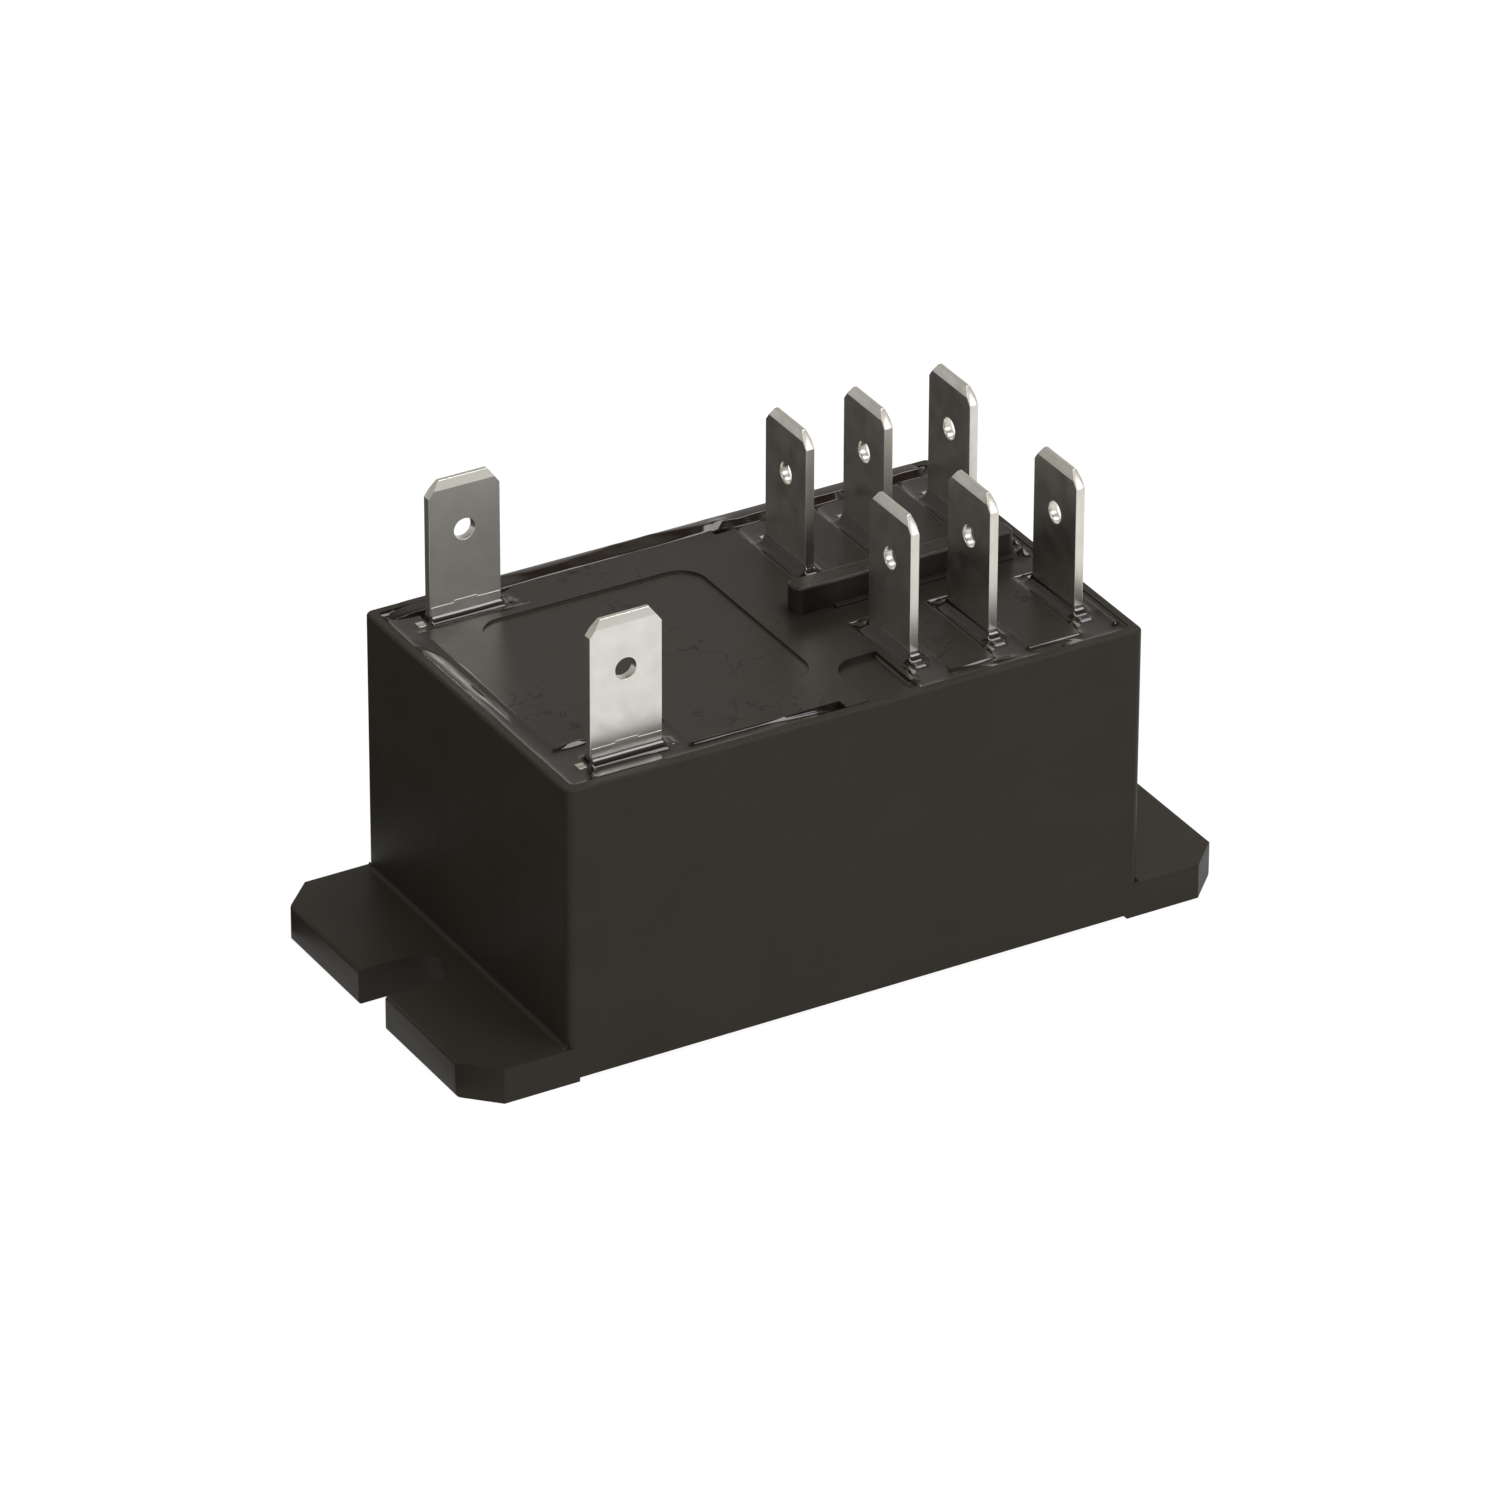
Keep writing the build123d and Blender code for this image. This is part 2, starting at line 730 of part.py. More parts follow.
def make_return_spring():
    """A short compression spring from the bobbin's seat to the armature."""
    z = hinge_z - spring_drop
    wire = spring_wire / 2
    start = bobbin_right - spring_seat_depth + wire + spring_end_gap
    reach = spring_drop - spring_coil_radius - wire
    end = hinge_x + reach * lean - wire - spring_end_gap
    height = end - start
    path = Helix(height / spring_turns, height, spring_coil_radius)
    coil = sweep(Plane(path @ 0, z_dir=path % 0) * Circle(wire), path=path, is_frenet=True)
    return Pos(start, 0, z) * Rot(0, 90, 0) * coil


nodes = {"case": make_case(), "header": make_header()}
sides = {"front": -1, "rear": 1}
tail_end = contact_z - tail_below_contact
for name, side in sides.items():
    y = side * row_y
    open_tail_x = open_face_x - fixed_height
    closed_tail_x = closed_face_x + fixed_height
    half = blade_thickness / 2
    common_tail = [
        (common_x - half, header_z),
        (common_x - half, blade_hinge_z),
        (common_x + half, blade_hinge_z),
        (common_x + half, header_z),
    ]
    open_terminal = make_contact_terminal(open_x, y, cranked_tail(open_x, open_tail_x, tail_end))
    open_terminal -= rivet_hole(open_tail_x - blade_thickness, open_tail_x, y, open_contact_z)
    closed_terminal = make_contact_terminal(closed_x, y, cranked_tail(closed_x, closed_tail_x, tail_end))
    closed_terminal -= rivet_hole(closed_tail_x, closed_tail_x + blade_thickness, y, contact_z)
    nodes["coil_terminal_" + name] = make_coil_terminal(side * coil_blade_y)
    nodes["normally_open_terminal_" + name] = open_terminal
    nodes["common_terminal_" + name] = make_contact_terminal(common_x, y, common_tail)
    nodes["normally_closed_terminal_" + name] = closed_terminal
    nodes["normally_open_contact_" + name] = make_fixed_contact(open_tail_x, 1, y, open_contact_z)
    nodes["normally_closed_contact_" + name] = make_fixed_contact(closed_tail_x, -1, y, contact_z)
    nodes["moving_blade_" + name] = make_moving_blade(y)
    nodes["moving_contact_" + name] = make_moving_contact(y)
    nodes["coil_lead_" + name] = make_lead(side)
terminals = [shape for name, shape in nodes.items() if "_terminal_" in name]
nodes["epoxy_seal"] = make_epoxy(terminals)
nodes["bobbin"] = make_bobbin()
nodes["winding"] = make_winding()
nodes["winding_tape"] = make_tape()
nodes["core"] = make_core()
nodes["yoke"] = make_yoke()
nodes["armature"] = make_armature()
nodes["card"] = make_card()
nodes["return_spring"] = make_return_spring()

for name, shape in nodes.items():
    export_step(shape, f"parts/{name}.step")
print(f"card travel {card_travel:.3f} mm, armature swing {armature_swing:.3f} degrees")
print(f"armature hinge at x {hinge_x:.3f} z {hinge_z:.3f}")
print(f"blade hinges at x {spring_face_x:.3f} z {blade_hinge_z:.3f}")
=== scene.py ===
import math
import bmesh
import bpy
import numpy as np
from mathutils import Matrix, Vector


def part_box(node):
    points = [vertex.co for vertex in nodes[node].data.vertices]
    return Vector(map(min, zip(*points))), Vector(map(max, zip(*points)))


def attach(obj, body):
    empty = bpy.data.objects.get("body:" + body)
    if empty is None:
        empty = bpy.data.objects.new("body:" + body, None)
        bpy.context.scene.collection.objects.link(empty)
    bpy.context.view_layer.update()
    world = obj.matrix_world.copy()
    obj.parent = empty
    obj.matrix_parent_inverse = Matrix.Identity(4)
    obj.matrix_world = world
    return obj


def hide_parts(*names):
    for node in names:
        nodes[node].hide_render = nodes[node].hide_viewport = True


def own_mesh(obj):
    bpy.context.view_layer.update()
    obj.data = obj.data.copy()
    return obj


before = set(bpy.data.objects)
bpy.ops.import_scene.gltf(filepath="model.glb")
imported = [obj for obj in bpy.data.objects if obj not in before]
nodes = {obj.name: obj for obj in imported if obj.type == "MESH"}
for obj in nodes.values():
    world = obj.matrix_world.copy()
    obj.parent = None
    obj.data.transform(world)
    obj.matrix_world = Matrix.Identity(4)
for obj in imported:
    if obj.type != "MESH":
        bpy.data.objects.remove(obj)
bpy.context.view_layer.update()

# Miniature power relay: the shown pieces, their finishes, the camera and the light.
# Lengths in the dictionaries are millimetres unless a note says otherwise.

mm = 0.001
print("frame loaded:", len(nodes), "nodes")

cameraSettings = {
    "azimuth": -30.1,  # degrees round the relay, 0 looks along +Y
    "elevation": 29.72,
    "roll": 0.20,
    "lens": 247.06,
    "sensor": 36.0,
    "across": 0.20,  # where the relay's origin lies in the camera's own axes
    "upward": -12.53,
    "away": 823.71,
    "clip": (0.01, 20.0),  # metres
}


def makeCamera(settings):
    a, e, r = (math.radians(settings[name]) for name in ("azimuth", "elevation", "roll"))
    back = Vector((math.sin(a) * math.cos(e), -math.cos(a) * math.cos(e), math.sin(e)))
    level = Vector((math.cos(a), math.sin(a), 0))
    upright = back.cross(level)
    right = math.cos(r) * level + math.sin(r) * upright
    up = math.cos(r) * upright - math.sin(r) * level
    place = (-settings["across"] * right - settings["upward"] * up + settings["away"] * back) * mm
    data = bpy.data.cameras.new("camera")
    data.sensor_width = settings["sensor"]
    data.lens = settings["lens"]
    data.clip_start, data.clip_end = settings["clip"]
    camera = bpy.data.objects.new("camera", data)
    bpy.context.scene.collection.objects.link(camera)
    turn = Matrix((right, up, back)).transposed().to_4x4()
    camera.matrix_world = Matrix.Translation(place) @ turn
    bpy.context.scene.camera = camera


makeCamera(cameraSettings)
print("camera placed")


def linear(hexColour):
    # sRGB hex to linear red, green and blue, with alpha 1
    channels = [int(hexColour[i:i + 2], 16) / 255 for i in (1, 3, 5)]
    return [c / 12.92 if c <= 0.04045 else ((c + 0.055) / 1.055) ** 2.4 for c in channels] + [1.0]


def addNode(tree, kind, inputs=None, **settings):
    # one node: settings are its own fields, inputs are values or the sockets that feed it
    node = tree.nodes.new(kind)
    for name, value in settings.items():
        setattr(node, name, value)
    for name, value in (inputs or {}).items():
        if isinstance(value, bpy.types.NodeSocket):
            tree.links.new(value, node.inputs[name])
        else:
            node.inputs[name].default_value = value
    return node


def emptyMaterial(name):
    material = bpy.data.materials.new(name)
    material.use_nodes = True
    material.node_tree.nodes.clear()
    return material, material.node_tree


def startMaterial(name):
    # an empty material and the place on the piece, in the object's own coordinates
    material, tree = emptyMaterial(name)
    return material, tree, addNode(tree, "ShaderNodeTexCoord").outputs["Object"]


def cloudyTones(tree, place, size, detail, first, second):
    # two tones mixed by a soft noise whose patches have the given size, and that noise itself
    cloud = addNode(tree, "ShaderNodeTexNoise", {"Vector": place, "Scale": 1 / (size * mm), "Detail": detail})
    tones = addNode(tree, "ShaderNodeMix", {
        0: cloud.outputs[0], 6: linear(first), 7: linear(second)}, data_type="RGBA")
    return tones.outputs[2], cloud.outputs[0]


def closeMaterial(material, tree, shader):
    addNode(tree, "ShaderNodeOutputMaterial", {"Surface": shader.outputs[0]})
    return material


caseFinish = {
    "dark": "#2c2821",
    "pale": "#322e27",
    "cloud": 5.0,  # size of the faint cloudy patches
    "grain": 0.24,  # eroded tool texture is about 0.05, drawn coarser so that it shows
    "streak": 1.4,  # height of the faint flow streaks
    "drawn": (0.12, 0.12, 1.0),  # scale of the streaks along each axis
    "roughness": (0.46, 0.52),
    "ior": 1.56,
    "gloss": 0.11,  # the grain hides most of a smooth skin's gloss
    "grainDepth": 0.016,
}


def mouldedPbt(name, finish):
    # Glass-filled PBT from an eroded steel tool: almost black, matte, with a fine even grain.
    # Along the flow it has faint streaks, a little shinier than the rest.
    material, tree, place = startMaterial(name)
    tones = cloudyTones(tree, place, finish["cloud"], 4.0, finish["dark"], finish["pale"])[0]
    drawn = addNode(tree, "ShaderNodeMapping", {"Vector": place, "Scale": finish["drawn"]})
    streak = addNode(tree, "ShaderNodeTexNoise", {
        "Vector": drawn.outputs[0], "Scale": 1 / (finish["streak"] * mm), "Detail": 3.0})
    smooth, rougher = finish["roughness"]
    rough = addNode(tree, "ShaderNodeMapRange", {
        "Value": streak.outputs[0], "From Min": 0.3, "From Max": 0.7, "To Min": smooth, "To Max": rougher})
    grain = addNode(tree, "ShaderNodeTexNoise", {
        "Vector": place, "Scale": 1 / (finish["grain"] * mm), "Detail": 3.0, "Roughness": 0.6})
    bump = addNode(tree, "ShaderNodeBump", {
        "Height": grain.outputs[0], "Strength": 0.8, "Distance": finish["grainDepth"] * mm})
    shader = addNode(tree, "ShaderNodeBsdfPrincipled", {
        "Base Color": tones, "Roughness": rough.outputs[0], "IOR": finish["ior"], "Normal": bump.outputs[0],
        "Specular IOR Level": finish["gloss"]})
    return closeMaterial(material, tree, shader)


headerFinish = {
    "dark": "#221e18",
    "pale": "#29251e",
    "cloud": 3.0,
    "grain": 0.22,
    "streak": 2.0,
    "drawn": (0.12, 0.12, 1.0),
    "roughness": (0.28, 0.35),
    "ior": 1.56,
    "gloss": 0.25,
    "grainDepth": 0.008,
}

deckMarks = {
    "rib": ((13.45, 0.0, 24.0), (10.05, 0.95, 2.0)),  # middle and half size of the rib's root
    "paintedShadeAndFlux": "#100d0a",  # painted shade round the foot of the rib; the thin flux lines take the same colour
    "paintedShadeReach": 1.6,
    "paintedShadeStrength": 0.75,
    "tide": 5.5,  # size of the patches whose dried edges leave thin dark lines
    "tideWidth": 0.012,  # in the noise's own values
    "tideStrength": 0.55,
    "tideRare": 0.45,  # scale of a second noise, against the first, that picks where lines show
    "tideWhere": (0.52, 0.60),  # its values over which they fade in
    "dull": 0.45,  # roughness added where the marks are full
}


def markDeck(material, marks):
    # Marks on the deck: painted shade, a soft darkening round the foot of the rib, and a few thin dark lines
    # of dried flux.
    tree = material.node_tree
    shader = next(node for node in tree.nodes if node.type == "BSDF_PRINCIPLED")
    plain = shader.inputs["Base Color"].links[0].from_socket
    place = next(node for node in tree.nodes if node.type == "TEX_COORD").outputs["Object"]
    middle, half = (Vector(v) * mm for v in marks["rib"])
    across = addNode(tree, "ShaderNodeVectorMath", {0: place, 1: middle}, operation="SUBTRACT")
    away = addNode(tree, "ShaderNodeVectorMath", {0: across.outputs[0]}, operation="ABSOLUTE")
    past = addNode(tree, "ShaderNodeVectorMath", {0: away.outputs[0], 1: half}, operation="SUBTRACT")
    outside = addNode(tree, "ShaderNodeVectorMath", {0: past.outputs[0], 1: (0, 0, 0)}, operation="MAXIMUM")
    distance = addNode(tree, "ShaderNodeVectorMath", {0: outside.outputs[0]}, operation="LENGTH")
    # painted shade: the deck is darker towards the root of the rib, fading out over the reach
    paintedShadeAndFlux = addNode(tree, "ShaderNodeMapRange", {
        "Value": distance.outputs["Value"], "From Min": 0.0, "From Max": marks["paintedShadeReach"] * mm,
        "To Min": marks["paintedShadeStrength"], "To Max": 0.0}, interpolation_type="SMOOTHSTEP")
    patch = addNode(tree, "ShaderNodeTexNoise", {
        "Vector": place, "Scale": 1 / (marks["tide"] * mm), "Detail": 3.0, "Roughness": 0.6})
    fromEdge = addNode(tree, "ShaderNodeMath", {0: patch.outputs[0], 1: 0.5}, operation="SUBTRACT")
    width = addNode(tree, "ShaderNodeMath", {0: fromEdge.outputs[0]}, operation="ABSOLUTE")
    tide = addNode(tree, "ShaderNodeMapRange", {
        "Value": width.outputs[0], "From Min": 0.0, "From Max": marks["tideWidth"],
        "To Min": marks["tideStrength"], "To Max": 0.0})
    rare = addNode(tree, "ShaderNodeTexNoise", {
        "Vector": place, "Detail": 0.0, "Scale": marks["tideRare"] / (marks["tide"] * mm)})
    where = addNode(tree, "ShaderNodeMapRange", {
        "Value": rare.outputs[0], "From Min": marks["tideWhere"][0], "From Max": marks["tideWhere"][1]})
    lines = addNode(tree, "ShaderNodeMath", {0: tide.outputs[0], 1: where.outputs[0]}, operation="MULTIPLY")
    mark = addNode(tree, "ShaderNodeMath", {0: paintedShadeAndFlux.outputs[0], 1: lines.outputs[0]}, operation="MAXIMUM")
    colour = addNode(tree, "ShaderNodeMix", {
        0: mark.outputs[0], 6: plain, 7: linear(marks["paintedShadeAndFlux"])}, data_type="RGBA")
    smooth = shader.inputs["Roughness"].links[0].from_socket
    dulled = addNode(tree, "ShaderNodeMath", {
        0: mark.outputs[0], 1: marks["dull"], 2: smooth}, operation="MULTIPLY_ADD")
    tree.links.new(colour.outputs[2], shader.inputs["Base Color"])
    tree.links.new(dulled.outputs[0], shader.inputs["Roughness"])


epoxyFinish = {
    "colour": "#1f1812",
    "roughness": (0.05, 0.12),
    "ior": 1.55,
    "ripple": 2.6,  # width of the slow ripples that a cast surface keeps
    "rippleDepth": 0.006,
    "haze": 3.5,  # size of the patches where flux and dust dull it
}


def castEpoxy(name, finish):
    # Black casting epoxy, cured in the open: a wet gloss with slow ripples and duller patches.
    material, tree, place = startMaterial(name)
    haze = addNode(tree, "ShaderNodeTexNoise", {
        "Vector": place, "Scale": 1 / (finish["haze"] * mm), "Detail": 5.0})
    smooth, rougher = finish["roughness"]
    rough = addNode(tree, "ShaderNodeMapRange", {
        "Value": haze.outputs[0], "From Min": 0.4, "From Max": 0.7, "To Min": smooth, "To Max": rougher})
    ripple = addNode(tree, "ShaderNodeTexNoise", {
        "Vector": place, "Scale": 1 / (finish["ripple"] * mm), "Detail": 1.0})
    bump = addNode(tree, "ShaderNodeBump", {
        "Height": ripple.outputs[0], "Strength": 1.0, "Distance": finish["rippleDepth"] * mm})
    shader = addNode(tree, "ShaderNodeBsdfPrincipled", {
        "Base Color": linear(finish["colour"]), "Roughness": rough.outputs[0], "IOR": finish["ior"],
        "Normal": bump.outputs[0]})
    return closeMaterial(material, tree, shader)


tinFinish = {
    "bright": "#e0ded8",
    "dull": "#cac7bf",
    "brass": "#d2bd9c",  # shows faintly where the strip was sheared after plating
    "roughness": (0.29, 0.37),
    "smudge": 1.7,  # size of the finger marks and dull spots
    "line": 0.11,  # rolling lines are about 0.02 apart, drawn coarser so that they show
    "drawn": (1.0, 1.0, 0.03),  # scale of the lines along each axis
    "lineDepth": 0.0015,
    "shearRoughness": 0.34,
    "shearFacing": (0.35, 0.05),  # share of the normal across the strip, at a broad face and at a sheared edge
    "torn": (0.48, 0.72, 0.45),  # noise values over which brass shows on sheared edges, and how much
}


def platedTin(name, finish, thin):
    # Brass strip with a matte tin plating, rolled and then stamped.
    # Broad faces carry fine lines along the blade and dull smudges. Sheared edges are rougher and warmer.
    material, tree, place = startMaterial(name)
    tones, smudge = cloudyTones(tree, place, finish["smudge"], 3.0, finish["bright"], finish["dull"])
    along = addNode(tree, "ShaderNodeMapping", {"Vector": place, "Scale": finish["drawn"]})
    lines = addNode(tree, "ShaderNodeTexNoise", {
        "Vector": along.outputs[0], "Scale": 1 / (finish["line"] * mm), "Detail": 2.0})
    normal = addNode(tree, "ShaderNodeTexCoord").outputs["Normal"]
    parts = addNode(tree, "ShaderNodeSeparateXYZ", {"Vector": normal})
    facing = addNode(tree, "ShaderNodeMath", {0: parts.outputs[thin]}, operation="ABSOLUTE")
    sheared = addNode(tree, "ShaderNodeMapRange", {
        "Value": facing.outputs[0], "From Min": finish["shearFacing"][0],
        "From Max": finish["shearFacing"][1]})
    torn = addNode(tree, "ShaderNodeTexNoise", {
        "Vector": along.outputs[0], "Scale": 1 / (3 * finish["line"] * mm), "Detail": 4.0})
    lowest, highest, most = finish["torn"]
    bare = addNode(tree, "ShaderNodeMapRange", {
        "Value": torn.outputs[0], "From Min": lowest, "From Max": highest, "To Max": most})
    warm = addNode(tree, "ShaderNodeMath", {0: sheared.outputs[0], 1: bare.outputs[0]}, operation="MULTIPLY")
    colour = addNode(tree, "ShaderNodeMix", {
        0: warm.outputs[0], 6: tones, 7: linear(finish["brass"])}, data_type="RGBA")
    smooth, rougher = finish["roughness"]
    rough = addNode(tree, "ShaderNodeMapRange", {
        "Value": smudge, "From Min": 0.35, "From Max": 0.68, "To Min": smooth, "To Max": rougher})
    roughness = addNode(tree, "ShaderNodeMix", {
        0: sheared.outputs[0], 2: rough.outputs[0], 3: finish["shearRoughness"]}, data_type="FLOAT")
    bump = addNode(tree, "ShaderNodeBump", {
        "Height": lines.outputs[0], "Strength": 0.7, "Distance": finish["lineDepth"] * mm})
    shader = addNode(tree, "ShaderNodeBsdfPrincipled", {
        "Base Color": colour.outputs[2], "Metallic": 1.0, "Roughness": roughness.outputs[0],
        "Normal": bump.outputs[0]})
    return closeMaterial(material, tree, shader)


innerMetals = {  # two tones, roughness from and to, line spacing, and the lines' scale along each axis
    "silverAlloy": ("#e6e3dc", "#cfcbc2", 0.28, 0.42, 0.20, (1.0, 1.0, 1.0)),
    "zincIron": ("#a9aaa9", "#8f9192", 0.30, 0.46, 0.16, (0.06, 1.0, 1.0)),
    "springSteel": ("#9b9a97", "#838280", 0.22, 0.34, 0.10, (1.0, 1.0, 1.0)),
    "springBronze": ("#c9986a", "#b3824f", 0.24, 0.38, 0.12, (1.0, 1.0, 0.05)),
}


def innerMetal(name, settings):
    # Rolled, headed or drawn metal inside the case: two close tones and fine lines left by the tool.
    bright, dull, smooth, rough, spacing, drawn = settings
    material, tree, place = startMaterial(name)
    tones, cloud = cloudyTones(tree, place, 1.5, 5.0, bright, dull)
    along = addNode(tree, "ShaderNodeMapping", {"Vector": place, "Scale": drawn})
    lines = addNode(tree, "ShaderNodeTexNoise", {
        "Vector": along.outputs[0], "Scale": 1 / (spacing * mm), "Detail": 2.0})
    spread = addNode(tree, "ShaderNodeMapRange", {
        "Value": cloud, "From Min": 0.35, "From Max": 0.65, "To Min": smooth, "To Max": rough})
    bump = addNode(tree, "ShaderNodeBump", {
        "Height": lines.outputs[0], "Strength": 0.6, "Distance": 0.002 * mm})
    shader = addNode(tree, "ShaderNodeBsdfPrincipled", {
        "Base Color": tones, "Metallic": 1.0, "Roughness": spread.outputs[0], "Normal": bump.outputs[0]})
    return closeMaterial(material, tree, shader)


innerPlastics = {  # two tones, roughness, subsurface share, size of the cloudy patches
    "naturalNylon": ("#d9d2be", "#cbc3ac", 0.42, 0.15, 2.5),
    "whiteAcetal": ("#e6e3da", "#dad6cb", 0.36, 0.10, 2.0),
    "polyesterTape": ("#c9962a", "#b8841f", 0.24, 0.05, 3.0),
}


def innerPlastic(name, settings):
    # Moulded or drawn plastic inside the case: nearly one tone, slightly see-through, with a faint grain.
    pale, dark, rough, depth, patch = settings
    spreadHalf = 0.06  # by how much the roughness varies either way
    material, tree, place = startMaterial(name)
    tones, cloud = cloudyTones(tree, place, patch, 3.0, pale, dark)
    grain = addNode(tree, "ShaderNodeTexNoise", {"Vector": place, "Scale": 1 / (0.2 * mm), "Detail": 2.0})
    spread = addNode(tree, "ShaderNodeMapRange", {
        "Value": cloud, "From Min": 0.3, "From Max": 0.7, "To Min": rough - spreadHalf,
        "To Max": rough + spreadHalf})
    bump = addNode(tree, "ShaderNodeBump", {
        "Height": grain.outputs[0], "Strength": 0.5, "Distance": 0.005 * mm})
    shader = addNode(tree, "ShaderNodeBsdfPrincipled", {
        "Base Color": tones, "Roughness": spread.outputs[0], "IOR": 1.50, "Subsurface Weight": depth,
        "Subsurface Scale": 0.4 * mm, "Normal": bump.outputs[0]})
    return closeMaterial(material, tree, shader)


wireFinish = {"enamel": "#9c4a22", "pale": "#b8602f", "roughness": (0.22, 0.34), "patch": 0.9}


def enamelledCopper(name, finish):
    # Drawn copper wire under clear red-brown enamel: a metal glow below a smooth glossy skin.
    material, tree, place = startMaterial(name)
    tones, cloud = cloudyTones(tree, place, finish["patch"], 4.0, finish["enamel"], finish["pale"])
    smooth, rougher = finish["roughness"]
    spread = addNode(tree, "ShaderNodeMapRange", {
        "Value": cloud, "From Min": 0.35, "From Max": 0.65, "To Min": smooth, "To Max": rougher})
    shader = addNode(tree, "ShaderNodeBsdfPrincipled", {
        "Base Color": tones, "Metallic": 1.0, "Roughness": spread.outputs[0], "Coat Weight": 0.6,
        "Coat Roughness": 0.08, "Coat IOR": 1.55})
    return closeMaterial(material, tree, shader)


casePbt = mouldedPbt("casePbt", caseFinish)
headerPbt = mouldedPbt("headerPbt", headerFinish)
markDeck(headerPbt, deckMarks)
pottingEpoxy = castEpoxy("pottingEpoxy", epoxyFinish)
coilBladeTin = platedTin("coilBladeTin", tinFinish, "Y")
contactBladeTin = platedTin("contactBladeTin", tinFinish, "X")
metals = {name: innerMetal(name, settings) for name, settings in innerMetals.items()}
plastics = {name: innerPlastic(name, settings) for name, settings in innerPlastics.items()}
coilWire = enamelledCopper("coilWire", wireFinish)
print("materials made:", len(bpy.data.materials))


def dress(name, material):
    data = nodes[name].data
    data.materials.clear()
    data.materials.append(material)


for side in ("front", "rear"):
    dress("normally_open_contact_" + side, metals["silverAlloy"])
    dress("normally_closed_contact_" + side, metals["silverAlloy"])
    dress("moving_contact_" + side, metals["silverAlloy"])
    dress("moving_blade_" + side, metals["springBronze"])
    dress("coil_lead_" + side, coilWire)
for name in ("core", "yoke", "armature"):
    dress(name, metals["zincIron"])
dress("return_spring", metals["springSteel"])
dress("bobbin", plastics["naturalNylon"])
dress("card", plastics["whiteAcetal"])
dress("winding_tape", plastics["polyesterTape"])


softEdges = {"case": 0.13, "header": 0.09, "terminal": 0.055}  # widths of the rounded edges
edgeRules = {
    "merge": 0.0001,  # corners closer than this are one
    "flat": 0.4,  # degrees: faces that meet at less are one
    "sharp": 30.0,  # degrees: an edge over this is rounded
    "coined": 10.0,  # degrees: the same for a blade's long edges
    "long": 1.0,
}


def soften(node, width, material, crisp=False):
    # A merged copy of the CAD node. Its flat faces are joined again, and a bevel rounds every sharp edge.
    # Where crisp is asked for, it rounds long and flatter edges too, as on the coined tip of a blade.
    mesh = nodes[node].data.copy()
    form = bmesh.new()
    form.from_mesh(mesh)
    bmesh.ops.remove_doubles(form, verts=form.verts, dist=edgeRules["merge"] * mm)
    bmesh.ops.dissolve_limit(form, angle_limit=math.radians(edgeRules["flat"]), verts=form.verts,
                             edges=form.edges)
    for face in form.faces:
        face.smooth = True
    rounded = form.edges.layers.float.new("bevel_weight_edge")
    for edge in form.edges:
        coined = crisp and edge.calc_length() > edgeRules["long"] * mm
        limit = edgeRules["coined"] if coined else edgeRules["sharp"]
        edge[rounded] = 1.0 if edge.calc_face_angle(0) > math.radians(limit) else 0.0
    form.to_mesh(mesh)
    form.free()
    mesh.materials.clear()
    mesh.materials.append(material)
    piece = bpy.data.objects.new(node + "_softened", mesh)
    bpy.context.scene.collection.objects.link(piece)
    bevel = piece.modifiers.new("softEdges", "BEVEL")
    bevel.width = width * mm
    bevel.segments = 2
    bevel.limit_method = "WEIGHT"
    weighted = piece.modifiers.new("flatFaces", "WEIGHTED_NORMAL")
    weighted.weight = 100  # wide flat faces stay flat beside their round edges
    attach(piece, "housing")
    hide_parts(node)


soften("case", softEdges["case"], casePbt)
soften("header", softEdges["header"], headerPbt)
for side in ("front", "rear"):
    soften("coil_terminal_" + side, softEdges["terminal"], coilBladeTin, True)
    for kind in ("normally_open", "common", "normally_closed"):
        soften(f"{kind}_terminal_{side}", softEdges["terminal"], contactBladeTin, True)
print("softened pieces made")


def makeSpring():
    # The return spring as it is in the CAD, as a copy of its own on the housing.
    piece = bpy.data.objects.new("return_spring_coil", nodes["return_spring"].data.copy())
    bpy.context.scene.collection.objects.link(piece)
    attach(piece, "housing")
    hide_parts("return_spring")
    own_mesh(piece)


makeSpring()
print("spring made")


def meshFrom(name, points, quads, material):
    # points is an array of corners in metres and quads an array of four corner numbers each
    mesh = bpy.data.meshes.new(name)
    mesh.vertices.add(len(points))
    mesh.vertices.foreach_set("co", points.astype(np.float32).ravel())
    mesh.loops.add(quads.size)
    mesh.loops.foreach_set("vertex_index", quads.astype(np.int32).ravel())
    mesh.polygons.add(len(quads))
    mesh.polygons.foreach_set("loop_start", np.arange(0, quads.size, 4, dtype=np.int32))
    mesh.update(calc_edges=True)
    mesh.validate()
    mesh.shade_smooth()
    mesh.materials.append(material)
    piece = bpy.data.objects.new(name, mesh)
    bpy.context.scene.collection.objects.link(piece)
    return piece


